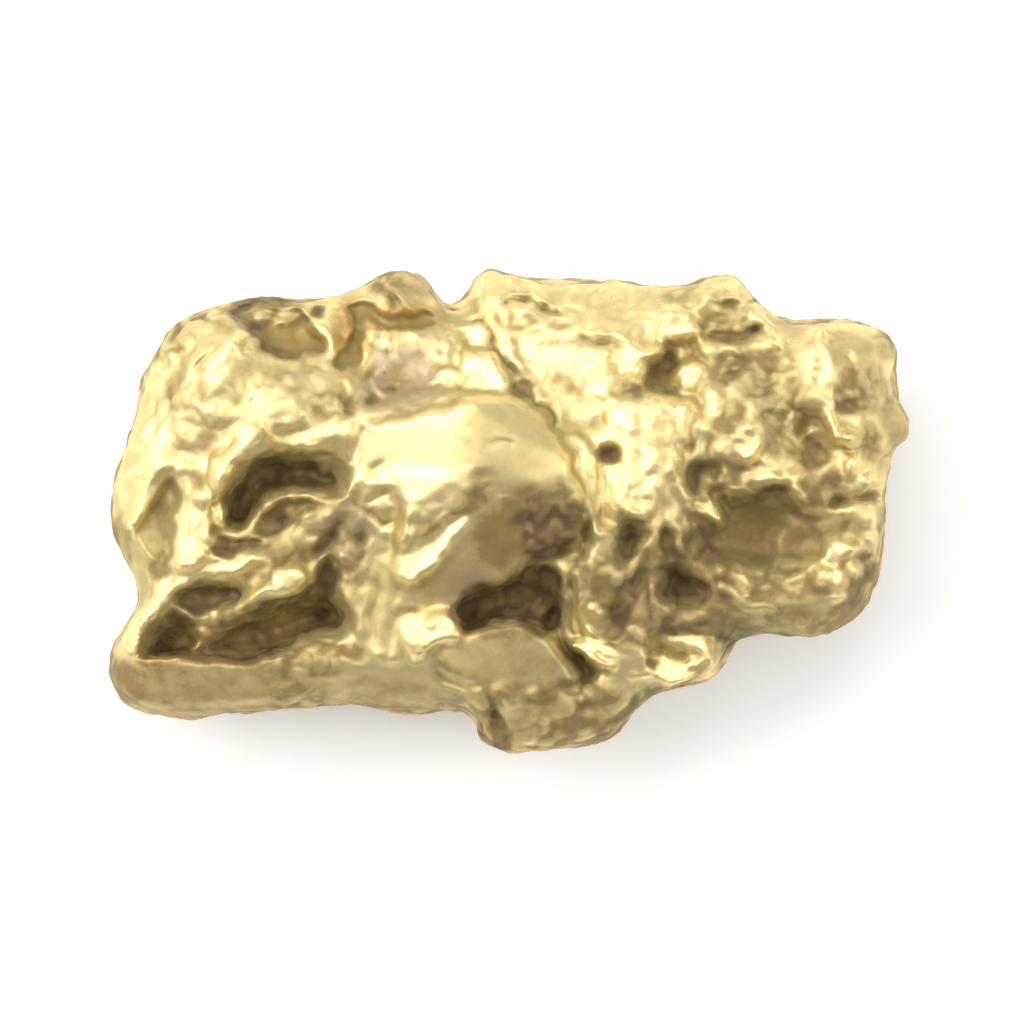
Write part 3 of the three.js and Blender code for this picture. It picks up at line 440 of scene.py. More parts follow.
# Knobs, and pits where the height is negative. Each has a middle, a half length, a half width,
# a turn in degrees and a height.
KNOBS = [
    # upper left
    (-5.05, 2.35, 0.3, 0.16, 25, 0.06), (-5.55, 2.5, 0.25, 0.14, 45, -0.05),
    (-6.5, 0.85, 0.32, 0.14, 10, 0.14), (-6.8, 3.3, 0.16, 0.12, 0, 0.14), (-6.45, 3.4, 0.16, 0.1, 0, 0.1),
    (-6.47, 3.7, 0.11, 0.11, 0, 0.14), (-5.93, 3.95, 0.13, 0.16, 0, 0.14),
    (-5.4, 3.5, 0.16, 0.1, 0, 0.12), (-6.63, 3.58, 0.09, 0.13, 0, -0.16),
    (-7.0, 3.32, 0.15, 0.08, 40, -0.14), (-6.2, 3.92, 0.2, 0.1, 20, -0.12),
    (-6.9, 2.95, 0.12, 0.18, 0, -0.1), (-7.05, 1.75, 0.1, 0.1, 0, -0.05),
    (-4.0, 2.55, 0.3, 0.2, 60, -0.07), (-3.45, 1.95, 0.13, 0.25, 0, 0.08), (-3.4, 2.3, 0.1, 0.25, 0, 0.1),
    (-3.75, 0.95, 0.18, 0.18, 0, 0.15), (-5.8, -0.02, 0.14, 0.22, 0, 0.1),
    (-5.4, 0.62, 0.3, 0.08, 50, 0.12), (-3.58, 1.02, 0.12, 0.12, 0, 0.1),
    # in and round the stained pockets
    (-4.93, 3.86, 0.15, 0.11, 0, 0.25), (-4.5, 3.82, 0.28, 0.15, 20, 0.18),
    (-3.85, 3.95, 0.16, 0.15, 0, -0.3), (-4.2, 4.12, 0.15, 0.08, 0, 0.1), (-3.3, 4.05, 0.1, 0.12, 0, 0.1),
    # the knob left of the notch
    (-2.2, 4.66, 0.17, 0.1, -30, -0.16), (-2.32, 4.14, 0.1, 0.2, 35, -0.2),
    (-2.6, 4.28, 0.12, 0.1, 0, 0.08),
    # the dull hollow above the boulder
    (-1.87, 3.32, 0.16, 0.3, 0, 0.15), (-2.45, 3.32, 0.13, 0.26, 0, 0.12),
    (-2.8, 3.45, 0.13, 0.25, 0, 0.14), (-2.48, 2.87, 0.1, 0.13, 0, 0.14),
    (-2.8, 2.75, 0.14, 0.25, -30, -0.14), (-2.75, 2.2, 0.2, 0.2, 0, -0.16),
    (-2.4, 2.45, 0.18, 0.1, 0, -0.13), (-2.15, 2.0, 0.25, 0.15, 0, -0.14),
    (-1.4, 3.2, 0.1, 0.08, 0, -0.1), (-1.8, 2.4, 0.3, 0.5, 0, -0.08),
    # left foot of the boulder, and the mixed ground below the crescent
    (-3.3, 1.58, 0.28, 0.22, 10, 0.12), (-2.55, 0.12, 0.2, 0.16, 0, 0.06),
    (-2.85, -0.15, 0.16, 0.08, -40, 0.08), (-3.08, 0.25, 0.12, 0.2, 0, -0.12),
    (-2.98, -0.62, 0.13, 0.38, -10, -0.22), (-3.35, -0.85, 0.07, 0.13, 0, 0.16),
    (-4.45, -1.28, 0.35, 0.2, 0, 0.08), (-3.2, -1.25, 0.13, 0.12, 0, 0.1),
    (-3.38, -1.75, 0.07, 0.12, 0, 0.12),
    # lower edge of the left half
    (-3.4, -2.55, 0.13, 0.13, 0, 0.06), (-3.38, -2.9, 0.17, 0.1, -40, 0.06),
    (-2.65, -2.82, 0.13, 0.1, 0, 0.1), (-4.5, -3.3, 0.18, 0.18, 0, -0.14),
    (-4.3, -3.55, 0.08, 0.16, 0, -0.08), (-4.2, -3.2, 0.12, 0.1, 0, 0.06),
    # bright knobs by the cave
    (-1.15, -1.98, 0.12, 0.08, 0, -0.1), (-1.62, -2.18, 0.24, 0.16, 0, 0.08),
    (-1.92, -2.5, 0.16, 0.24, 0, 0.08), (-1.32, -2.38, 0.16, 0.13, 0, 0.07),
    # lower lobe
    (0.1, -3.56, 0.24, 0.14, 10, -0.13), (0.95, -3.5, 0.3, 0.12, 0, -0.12),
    (1.4, -3.86, 0.26, 0.14, 0, -0.13), (0.85, -4.25, 0.11, 0.24, 15, -0.13),
    (-0.28, -4.15, 0.22, 0.48, 15, -0.35), (0.25, -4.58, 0.3, 0.12, 0, 0.12),
    (0.64, -4.2, 0.09, 0.22, 5, 0.12), (0.05, -4.0, 0.2, 0.08, 0, 0.08),
    # the crack's banks
    (0.28, 3.98, 0.2, 0.12, -5, 0.16), (0.67, 4.2, 0.15, 0.13, 0, 0.16),
    (1.15, 4.25, 0.22, 0.13, 45, 0.1), (1.8, 3.57, 0.22, 0.1, 0, 0.14), (0.95, 3.62, 0.4, 0.1, 0, 0.06),
    (0.92, 1.42, 0.12, 0.09, 0, -0.08), (0.15, 2.45, 0.1, 0.1, 0, -0.05),
    # furrows on the boulder's lower face
    (0.3, -0.85, 0.18, 0.09, 30, -0.12), (0.85, -0.35, 0.22, 0.12, 50, -0.12),
    (0.3, -0.2, 0.26, 0.12, 20, -0.1), (1.38, -0.4, 0.1, 0.3, 0, -0.16),
    (-0.55, 0.75, 0.22, 0.08, 0, -0.06), (1.0, 0.3, 0.3, 0.1, 20, -0.08),
    (0.25, 0.1, 0.18, 0.12, 30, 0.04),
    # round the flutes
    (2.7, 3.2, 0.3, 0.16, 0, 0.08), (3.1, 3.85, 0.26, 0.16, 0, 0.12), (3.45, 3.58, 0.3, 0.17, 10, 0.1),
    (3.52, 2.68, 0.36, 0.32, 10, 0.06), (3.56, 2.75, 0.04, 0.15, 10, -0.05),
    (3.3, 3.1, 0.1, 0.16, -10, 0.2), (4.0, 2.2, 0.16, 0.3, 0, 0.06), (3.25, 1.35, 0.13, 0.06, 0, -0.1),
    (2.7, 0.3, 0.12, 0.1, 0, -0.1),
    # the mound of the upper right
    (4.3, 4.1, 0.27, 0.13, 0, -0.22), (3.85, 3.76, 0.22, 0.22, 0, -0.24),
    (4.75, 4.2, 0.16, 0.08, 20, -0.16), (4.38, 3.77, 0.25, 0.14, -15, 0.06),
    (5.2, 3.35, 0.13, 0.22, 30, 0.18), (4.35, 3.28, 0.13, 0.1, 0, 0.06), (3.95, 3.25, 0.2, 0.18, 0, 0.12),
    (3.9, 4.25, 0.12, 0.22, -20, 0.12), (4.15, 4.62, 0.16, 0.1, 0, -0.07),
    (3.1, 4.35, 0.22, 0.12, -20, -0.08), (3.5, 4.05, 0.12, 0.08, 0, -0.1),
    (2.35, 4.35, 0.12, 0.2, 0, 0.06),
    # mid right
    (4.3, 2.7, 0.32, 0.12, 30, -0.2), (5.05, 2.7, 0.26, 0.16, 0, -0.16), (5.0, 3.1, 0.3, 0.1, 0, -0.1),
    (3.92, 1.25, 0.1, 0.26, 0, -0.14), (4.45, 0.7, 0.26, 0.14, 10, -0.14), (4.8, 0.9, 0.1, 0.1, 0, -0.12),
    (3.6, 1.28, 0.11, 0.12, 0, -0.18), (4.7, 1.66, 0.22, 0.14, 20, 0.14),
    (4.75, 2.05, 0.1, 0.16, 0, 0.12), (4.9, 2.3, 0.1, 0.2, 0, 0.1), (3.82, 1.65, 0.26, 0.16, 0, 0.12),
    (5.12, 0.85, 0.22, 0.25, 0, 0.12), (5.5, 0.75, 0.3, 0.1, -20, 0.1), (4.3, 1.95, 0.14, 0.16, 0, -0.06),
    (5.4, 3.0, 0.1, 0.14, 0, 0.1), (5.2, 2.35, 0.14, 0.3, 0, -0.05), (5.55, 2.45, 0.1, 0.2, 30, -0.05),
    (4.15, 1.2, 0.15, 0.2, 0, 0.14), (6.05, 1.15, 0.18, 0.3, 30, -0.1), (6.05, 1.38, 0.1, 0.06, 0, 0.08),
    # right end
    (6.25, 2.68, 0.2, 0.2, 0, 0.12), (6.74, 1.46, 0.17, 0.15, 0, 0.2), (6.6, 1.26, 0.16, 0.07, 0, -0.18),
    (7.2, 1.35, 0.16, 0.12, 30, -0.12), (7.1, 2.65, 0.15, 0.12, 0, -0.06), (7.4, 2.7, 0.1, 0.1, 0, 0.07),
    (6.7, 0.93, 0.14, 0.3, -15, 0.2), (7.18, 0.6, 0.26, 0.18, 0, 0.2), (7.15, -0.08, 0.22, 0.22, 0, 0.15),
    (7.15, -0.55, 0.15, 0.15, 0, 0.18), (6.25, -0.8, 0.15, 0.22, 0, 0.14),
    (6.2, -1.22, 0.16, 0.14, 0, 0.2), (6.85, -1.2, 0.14, 0.22, 0, 0.14), (6.45, -1.7, 0.22, 0.1, 0, 0.15),
    (6.5, 0.62, 0.24, 0.1, 0, -0.22), (6.65, -1.87, 0.1, 0.08, 0, -0.14),
    (7.05, -1.42, 0.1, 0.2, 0, -0.1), (6.7, -0.7, 0.3, 0.1, 0, 0.08), (5.75, -2.15, 0.12, 0.12, 0, 0.08),
    (6.15, -2.34, 0.08, 0.08, 0, 0.08), (5.7, -0.05, 0.15, 0.2, 0, -0.12),
    # the net
    (4.1, -1.15, 0.1, 0.13, 0, 0.14), (4.95, -1.2, 0.08, 0.13, 0, 0.1),
    (4.8, -1.25, 0.12, 0.12, 0, -0.12), (4.9, -1.65, 0.16, 0.13, 0, -0.14),
    (4.15, -1.8, 0.22, 0.1, -20, -0.12), (5.45, -1.45, 0.12, 0.1, 0, -0.1),
    (3.4, -2.12, 0.22, 0.13, 20, 0.12), (2.15, -1.9, 0.16, 0.06, 50, 0.1),
    (3.65, -0.35, 0.13, 0.13, 0, 0.06), (2.25, -0.3, 0.12, 0.2, 0, 0.12), (2.05, -1.2, 0.12, 0.1, 0, 0.1),
    # lower right corner, and the right bank of the cave
    (2.72, -3.0, 0.16, 0.16, 0, -0.14), (3.62, -3.0, 0.16, 0.1, -20, 0.1),
    (2.5, -3.3, 0.2, 0.14, 0, 0.08), (1.63, -2.0, 0.14, 0.2, 15, 0.24),
    (1.15, -1.5, 0.12, 0.22, -15, -0.3), (1.4, -0.82, 0.13, 0.13, 0, -0.22),
    (3.95, -3.25, 0.14, 0.1, 0, 0.05), (2.45, -2.35, 0.28, 0.18, 0, 0.1),
]

# Smooth ground: ellipses where the skin lies quiet, as middle, half length, half width and turn
# in degrees.
SMOOTH = [
    (-6.3, -3.55, 2.1, 0.65, 0), (-1.9, 1.1, 1.3, 0.95, -10), (0.2, 1.3, 1.2, 1.0, 0),
    (-0.1, -2.9, 1.3, 0.65, 0), (-0.9, -0.8, 1.2, 0.8, 40), (-7.0, -0.1, 0.5, 0.95, 0),
    (-2.0, -3.5, 2.2, 0.4, 0), (-7.6, -0.9, 0.4, 1.1, 0), (-2.55, -2.1, 0.6, 1.0, 0),
    (5.6, -2.1, 1.6, 0.4, -3), (7.6, 1.75, 0.45, 0.45, 0), (6.9, 3.3, 0.6, 0.4, 0),
    (4.9, -0.4, 0.9, 0.6, 0), (-1.9, 4.35, 0.4, 0.5, 0),
]

# Ground stained with rust, and ground where the metal is duller: ellipses, as above.
RUST = [
    (-4.3, 3.45, 0.6, 0.3, -10), (-3.15, 3.5, 0.4, 0.85, 0), (-2.2, 3.85, 0.9, 0.3, 0),
]
DULL = [
    (-2.2, 2.6, 0.8, 0.6, 20), (-0.8, -1.6, 0.6, 0.5, 20), (-3.3, -0.4, 0.5, 0.6, 0),
]

# A film of dirt that also paints shade on faces turned from the light, on low ground and along the lower
# rim: ellipses, as above, each after the amount of dirt and painted shade, from 0 to 1.
FILM_AND_SHADE = [
    # left half, and along its lower rim, where the film is painted shade
    (0.35, (-4.2, -0.4, 1.3, 0.5, 25)), (0.5, (-3.35, -0.6, 0.4, 0.9, 0)),
    (0.25, (-2.2, 2.5, 0.9, 0.5, 20)), (0.55, (-7.0, -0.2, 0.35, 0.7, 0)),
    (0.35, (-5.2, 3.8, 1.2, 0.4, -10)), (0.75, (-5.25, 3.75, 0.45, 0.2, -35)),
    (0.62, (-4.0, -3.0, 0.7, 0.35, 0)), (0.55, (-6.1, -3.45, 2.4, 0.8, 0)),
    (0.55, (-2.6, -3.7, 2.4, 0.45, 0)), (0.4, (-6.8, 3.5, 0.7, 0.35, 50)),
    (0.6, (-2.3, 4.45, 0.6, 0.4, -30)), (0.6, (-3.35, 2.1, 0.3, 0.35, 0)),
    (0.35, (-0.15, 3.8, 0.3, 0.25, 0)), (0.4, (-3.6, 2.1, 0.5, 0.4, 0)),
    (0.55, (-5.1, -1.27, 0.35, 0.18, 30)), (0.4, (-7.5, -0.8, 0.45, 0.9, 0)),
    (0.6, (-5.1, -0.6, 0.55, 0.22, 10)), (0.4, (-6.3, 0.5, 0.25, 0.4, 0)),
    (0.75, (-3.65, 0.38, 0.35, 0.28, 0)), (0.5, (-3.0, 0.0, 0.2, 0.2, 0)),
    (0.35, (-6.65, 2.3, 0.25, 0.5, 0)), (0.25, (-5.0, 2.8, 1.0, 0.2, -30)),
    (0.62, (-5.6, -2.12, 0.75, 0.22, 38)), (0.5, (-4.7, 0.18, 0.75, 0.3, 25)),
    (0.62, (-6.4, -2.05, 0.35, 0.25, -45)), (0.45, (-4.45, -1.3, 0.3, 0.2, 0)),
    (0.52, (-2.6, -1.85, 0.65, 0.95, 0)), (0.3, (-5.25, 0.85, 0.15, 0.5, -40)),
    (0.6, (-4.6, -1.02, 0.4, 0.2, 0)), (0.45, (-4.2, -0.25, 0.5, 0.15, 25)),
    (0.5, (-2.8, -1.35, 0.4, 0.3, 0)), (0.6, (-1.65, -0.35, 0.3, 0.2, 45)),
    (0.6, (-2.1, -1.85, 0.3, 0.18, 0)), (0.6, (-7.8, -3.5, 0.4, 0.6, 0)),
    (0.5, (-6.9, 3.7, 0.7, 0.35, 45)), (0.6, (-5.0, 4.25, 0.6, 0.2, 0)),
    (0.55, (-5.5, -4.0, 3.2, 0.25, 0)), (0.5, (-1.2, -3.9, 0.9, 0.3, 0)),
    (0.6, (-0.35, -4.5, 0.35, 0.4, 0)), (0.45, (-7.95, -0.9, 0.3, 1.2, 0)),
    (0.6, (-6.3, 3.95, 0.35, 0.2, 20)), (0.72, (-7.6, -3.4, 0.5, 0.5, 0)),
    (0.74, (-0.4, -4.45, 0.5, 0.45, 0)), (0.58, (-0.5, -3.55, 0.8, 0.3, 0)),
    (0.45, (-6.6, 3.45, 0.35, 0.3, 45)), (0.5, (-4.6, -0.75, 0.9, 0.25, 25)),
    (0.58, (-4.6, -0.42, 0.7, 0.16, 25)), (0.6, (-6.0, -3.05, 1.8, 0.15, 0)),
    (0.6, (-3.6, -2.75, 0.8, 0.25, 0)), (0.65, (-0.1, -2.4, 1.1, 0.18, 0)),
    (0.6, (1.4, -1.2, 0.2, 0.5, 0)), (0.6, (-7.0, -1.0, 0.25, 0.4, 0)),
    (0.75, (-7.95, -3.5, 0.35, 0.7, 0)), (0.5, (-7.1, 3.4, 0.2, 0.3, 0)),
    (0.85, (-4.9, 4.15, 0.7, 0.15, 0)), (0.32, (-4.2, 2.7, 0.65, 0.45, 0)),
    (0.6, (-4.4, -3.6, 0.4, 0.4, 0)), (0.6, (-1.3, -3.7, 0.6, 0.25, 0)),
    (0.5, (-5.8, -0.4, 0.3, 0.25, 0)), (0.3, (-6.0, 2.4, 1.0, 0.9, 0)),
    (0.55, (-4.7, -1.25, 0.6, 0.25, 15)), (0.6, (-7.75, -0.7, 0.3, 0.7, 0)),
    (0.55, (-1.2, -3.3, 0.4, 0.4, 0)), (0.6, (0.5, -3.45, 1.2, 0.2, 0)),
    (0.6, (-0.4, -4.3, 0.35, 0.5, 0)), (0.55, (-1.8, 4.55, 0.4, 0.4, 0)),
    # boulder: painted shade on its right and lower faces, which turn from the light, darkest at the right,
    # and the foot of the tongue
    (0.34, (0.0, 1.4, 1.1, 0.95, 0)), (0.5, (-0.6, 0.7, 0.3, 0.2, 0)), (0.85, (0.3, -0.3, 1.3, 0.8, 25)),
    (1.0, (0.8, -0.35, 0.9, 0.5, 42)), (0.5, (-1.1, -1.1, 1.0, 0.6, 25)),
    (0.5, (-0.1, -2.95, 1.5, 0.7, 0)), (0.6, (-0.8, 0.2, 0.7, 0.3, 42)),
    # right half, with painted shade on its low ground
    (0.7, (6.5, -2.1, 0.8, 0.35, 25)), (0.7, (4.8, -2.25, 0.7, 0.3, 0)),
    (0.65, (2.3, -4.2, 1.0, 0.3, 35)), (0.6, (2.7, -3.8, 0.5, 0.3, 35)),
    (0.72, (2.9, -3.75, 1.1, 0.22, 38)), (0.4, (7.4, -0.5, 0.2, 1.0, 0)),
    (0.6, (6.6, 2.2, 0.25, 0.3, 45)), (0.15, (1.6, 4.1, 2.4, 0.5, 0)), (0.35, (0.3, 2.65, 0.35, 0.2, 0)),
    (0.45, (7.5, 3.35, 0.4, 0.4, 0)), (0.3, (0.9, 2.6, 0.2, 0.6, 60)), (0.35, (3.5, 4.3, 0.6, 0.3, 0)),
    (0.5, (4.4, 3.7, 0.6, 0.4, 0)), (0.5, (2.25, 2.4, 0.35, 0.25, 0)), (0.65, (4.8, -0.35, 1.6, 0.9, 0)),
    (0.7, (3.1, -1.2, 1.4, 1.0, -20)), (0.6, (2.0, -1.5, 0.55, 0.8, 0)),
    (0.65, (2.3, -2.3, 0.7, 0.45, 0)), (0.8, (3.4, -2.2, 1.0, 0.3, -10)),
    (0.65, (5.6, -1.45, 1.3, 0.35, 0)), (0.8, (2.5, -1.8, 0.5, 0.5, 0)),
    (0.75, (4.0, -1.6, 0.35, 0.8, 0)), (0.45, (5.6, 1.5, 0.9, 0.6, -30)), (0.45, (4.1, 0.6, 0.9, 0.6, 0)),
    (0.5, (4.6, 2.9, 1.1, 0.4, 0)), (0.4, (6.6, 3.3, 0.7, 0.4, 0)), (0.65, (5.2, -2.15, 1.8, 0.5, -5)),
    (0.82, (4.45, -2.4, 0.55, 0.35, 0)), (0.55, (5.4, -2.3, 0.9, 0.3, 0)),
    (0.45, (0.8, -4.3, 1.8, 0.6, 10)), (0.6, (0.3, -3.6, 0.8, 0.25, 0)), (0.2, (2.3, -3.8, 0.8, 0.4, 30)),
    (0.4, (6.2, -0.5, 0.9, 0.5, 20)), (0.5, (5.2, 2.4, 0.7, 0.6, 0)), (0.65, (6.2, 0.45, 0.5, 0.4, 0)),
    (0.5, (7.05, 1.4, 0.3, 0.5, 0)), (0.6, (7.0, -1.5, 0.4, 0.8, -30)), (0.5, (7.7, 1.8, 0.45, 0.9, 0)),
    (0.5, (4.3, -2.6, 0.35, 0.35, 0)), (0.45, (2.5, -4.1, 1.2, 0.25, 32)),
    (0.4, (7.6, 3.4, 0.25, 0.3, 0)), (0.55, (4.2, 1.85, 0.45, 0.4, 0)), (0.45, (6.95, 2.5, 0.5, 0.7, 0)),
    (0.6, (1.6, -3.65, 0.6, 0.3, 0)),
]


# --- measuring distances on the face -----------------------------------------------------------

def smoothstep(low, high, value):
    t = np.clip((value - low) / (high - low), 0.0, 1.0)
    return t * t * (3.0 - 2.0 * t)


def curve_through(points, closed=False, steps=5):
    """A Catmull-Rom curve through the points, as a chain of close points."""
    p = np.array(points, float)
    if closed:
        p = np.vstack([p[-1], p, p[0], p[1]])
    else:
        p = np.vstack([2 * p[0] - p[1], p, 2 * p[-1] - p[-2]])
    chain = []
    for a, b, c, d in zip(p[:-3], p[1:-2], p[2:-1], p[3:]):
        for t in np.arange(steps) / steps:
            chain.append(0.5 * (2 * b + (c - a) * t + (2 * a - 5 * b + 4 * c - d) * t ** 2
                                + (3 * b - a - 3 * c + d) * t ** 3))
    if not closed:
        chain.append(p[-2])
    return np.array(chain)


def distance_to_chain(x, y, chain):
    """The distance from each point to a chain of segments."""
    nearest = np.full(len(x), np.inf)
    for (ax, ay), (bx, by) in zip(chain[:-1], chain[1:]):
        dx, dy = bx - ax, by - ay
        t = np.clip(((x - ax) * dx + (y - ay) * dy) / max(dx * dx + dy * dy, 1e-12), 0.0, 1.0)
        nearest = np.minimum(nearest, np.hypot(x - ax - t * dx, y - ay - t * dy))
    return nearest


def depth_inside(x, y, outline):
    """How far each point lies inside a closed outline; negative outside it."""
    chain = curve_through(outline, closed=True)
    chain = np.vstack([chain, chain[0]])
    inside = np.zeros(len(x), bool)
    for (ax, ay), (bx, by) in zip(chain[:-1], chain[1:]):
        if ay != by:
            crosses = (ay > y) != (by > y)
            inside ^= crosses & (x < ax + (y - ay) * (bx - ax) / (by - ay))
    return np.where(inside, 1.0, -1.0) * distance_to_chain(x, y, chain)


def ellipse_radius(x, y, middle_x, middle_y, half_length, half_width, turn):
    """The distance from an ellipse's middle, as a share of its radius that way."""
    a = math.radians(turn)
    along = (x - middle_x) * math.cos(a) + (y - middle_y) * math.sin(a)
    across = (y - middle_y) * math.cos(a) - (x - middle_x) * math.sin(a)
    return np.hypot(along / half_length, across / half_width)


def wavered(points, size, amount, shift):
    """Noise at each point, as a sideways move of up to about an amount."""
    place = (points / size + shift).tolist()
    return amount * np.array([noise_vector(p) for p in place])


def near(x, y, points, reach):
    """The indices of the points in a box round some others."""
    low = np.min(points, axis=0) - reach
    high = np.max(points, axis=0) + reach
    return np.nonzero((x > low[0]) & (x < high[0]) & (y > low[1]) & (y < high[1]))[0]


def spots(x, y, ellipses, soft=0.45):
    """1 in the ellipses, fading to 0 past their edges."""
    amount = np.zeros(len(x))
    for shape in ellipses:
        radius = ellipse_radius(x, y, *shape)
        amount = np.maximum(amount, 1.0 - smoothstep(1.0 - soft, 1.0 + soft, radius))
    return amount


# --- shaping the face --------------------------------------------------------------------------

# In these functions x and y are places on the face with the waver of the outlines in them, plan
# is the same places without it, and z and the dirt, with its painted shade, are changed in place.
# Planes read the plan, so that the waver doesn't dent them.

def plane_height(plan, i, at_x, at_y, height, slope_x, slope_y):
    """The height, at some of the places, of a plane through a point."""
    return height + slope_x * (plan[0][i] - at_x) + slope_y * (plan[1][i] - at_y)


def shape_faces(x, y, z, plan):
    """Turns each face's ground into the lowest of its planes."""
    for blend, outline, planes in FACES:
        i = near(x, y, outline, blend)
        heights = [plane_height(plan, i, *plane) for plane in planes]
        lowest = -EDGE_ROUND * np.log(sum(np.exp(-h / EDGE_ROUND) for h in heights))
        z[i] += (lowest - z[i]) * smoothstep(-blend, blend, depth_inside(x[i], y[i], outline))


def tilt_patches(x, y, z, plan):
    """Leans each patch about its own middle."""
    for blend, slope_x, slope_y, outline in TILTS:
        i = near(x, y, outline, blend)
        middle_x, middle_y = np.mean(outline, axis=0)
        share = smoothstep(-blend, blend, depth_inside(x[i], y[i], outline))
        z[i] += share * plane_height(plan, i, middle_x, middle_y, 0.0, slope_x, slope_y)


def sink_pockets(x, y, z, dirt_and_shade):
    """Sinks each pocket, and fills it with its dirt, which also paints the shade in it, up to its rim."""
    for depth, wall, pocket_dirt_and_shade, outline in POCKETS:
        i = near(x, y, outline, wall)
        inside = depth_inside(x[i], y[i], outline)
        z[i] -= depth * smoothstep(-0.3 * wall, wall, inside)
        dirt_and_shade[i] = np.maximum(dirt_and_shade[i], pocket_dirt_and_shade * smoothstep(-0.05, 0.04, inside))


def raise_flats(x, y, z, plan, dirt_and_shade):
    """Lifts each flat above the ground's mean height under it, and takes the dirt and painted shade off it.
    """
    for edge, rise, slope_x, slope_y, outline in FLATS:
        i = near(x, y, outline, edge)
        inside = depth_inside(x[i], y[i], outline)
        middle_x, middle_y = np.mean(outline, axis=0)
        height = np.mean(z[i][inside > 0]) + rise
        plane = plane_height(plan, i, middle_x, middle_y, height, slope_x, slope_y)
        z[i] += smoothstep(-edge, edge, inside) * (plane - z[i])
        dirt_and_shade[i] *= 1.0 - FLAT_CLEANED * smoothstep(-0.05, 0.05, inside)


def raise_by(i, height, share, z, dirt_and_shade, worn=1.0):
    """Adds a height that is a fold's or a knob's: dirt and painted shade lie in a groove, and come off a
    ridge.
    """
    z[i] += worn * height * share
    if height < 0:
        dirt_and_shade[i] = np.maximum(dirt_and_shade[i], share * min(0.65, -4.0 * height))
    else:
        dirt_and_shade[i] *= 1.0 - np.minimum(1.0, 2.0 * share) * min(0.7, 3.0 * height)


def raise_folds(x, y, z, dirt_and_shade):
    """Raises the ridges, and presses in the grooves, along their paths."""
    for half_width, height, path in FOLDS:
        i = near(x, y, path, half_width * 2)
        r = distance_to_chain(x[i], y[i], curve_through(path)) / half_width
        raise_by(i, height, 1.0 - smoothstep(0.0, 1.5, r), z, dirt_and_shade)


def raise_knobs(x, y, z, dirt_and_shade):
    """Raises the knobs, and presses in the pits."""
    for middle_x, middle_y, half_length, half_width, turn, height in KNOBS:
        i = near(x, y, [(middle_x, middle_y)], max(half_length, half_width) * 1.5)
        r = ellipse_radius(x[i], y[i], middle_x, middle_y, half_length, half_width, turn)
        raise_by(i, height, 1.0 - smoothstep(0.25, 1.3, r), z, dirt_and_shade, KNOB_WEAR)


def carve_face(x, y, z, plan):
    """All the relief, from the broad faces down to the knobs. Gives the dirt and painted shade that lie on
    it.
    """
    # the film starts the amount: dirt, and painted shade on faces turned from the light
    dirt_and_shade = np.max([amount * spots(x, y, [shape]) for amount, shape in FILM_AND_SHADE], axis=0)
    shape_faces(x, y, z, plan)
    tilt_patches(x, y, z, plan)
    sink_pockets(x, y, z, dirt_and_shade)
    raise_flats(x, y, z, plan, dirt_and_shade)
    raise_folds(x, y, z, dirt_and_shade)
    raise_knobs(x, y, z, dirt_and_shade)
    return dirt_and_shade


# --- the mesh ----------------------------------------------------------------------------------

def get_points(mesh):
    flat = np.empty(len(mesh.vertices) * 3)
    mesh.vertices.foreach_get("co", flat)
    return flat.reshape(-1, 3)


def set_points(mesh, points):
    mesh.vertices.foreach_set("co", points.ravel())
    mesh.update()


def get_normals(mesh):
    flat = np.empty(len(mesh.vertices) * 3)
    mesh.vertex_normals.foreach_get("vector", flat)
    return flat.reshape(-1, 3)


def get_edges(mesh):
    flat = np.empty(len(mesh.edges) * 2, np.int64)
    mesh.edges.foreach_get("vertices", flat)
    return flat.reshape(-1, 2)


def paint(mesh, name, values):
    """Stores a number for each vertex, which the material reads by name."""
    layer = mesh.attributes.get(name) or mesh.attributes.new(name, "FLOAT", "POINT")
    layer.data.foreach_set("value", np.asarray(values, np.float32))


def smoothed(values, edges, rounds, share=0.5):
    """Values of the vertices, each drawn some way to its neighbours' mean, several times."""
    values = values.copy()
    count = len(values)
    ends = np.concatenate([edges[:, 0], edges[:, 1]])
    others = np.concatenate([edges[:, 1], edges[:, 0]])
    neighbours = np.maximum(np.bincount(ends, minlength=count), 1)
    for _ in range(rounds):
        for axis in range(values.shape[1]):
            mean = np.bincount(ends, values[others, axis], minlength=count) / neighbours
            values[:, axis] += share * (mean - values[:, axis])
    return values


def keep_in_height(points):
    """Holds the points between the ground and the solid's top."""
    points[:, 2] = np.clip(points[:, 2], 0.0, DRAWN_SIZE[2])
    return points


def baked(name, piece):
    """The piece's mesh with its modifiers applied, as a mesh of its own."""
    depsgraph = bpy.context.evaluated_depsgraph_get()
    mesh = bpy.data.meshes.new_from_object(piece.evaluated_get(depsgraph))
    mesh.name = name
    piece.modifiers.clear()
    return mesh


def solid_surface():
    """A copy of the solid's surface in drawn millimetres, its corners merged."""
    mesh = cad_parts["nugget"].data.copy()
    low, high = (np.array(corner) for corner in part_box("nugget"))
    scale = DRAWN_SIZE / (high - low)
    mesh.transform(Matrix.Diagonal((*scale, 1.0)))
    shape = bmesh.new()
    shape.from_mesh(mesh)
    bmesh.ops.remove_doubles(shape, verts=shape.verts, dist=1e-3)
    shape.to_mesh(mesh)
    shape.free()
    return mesh, scale


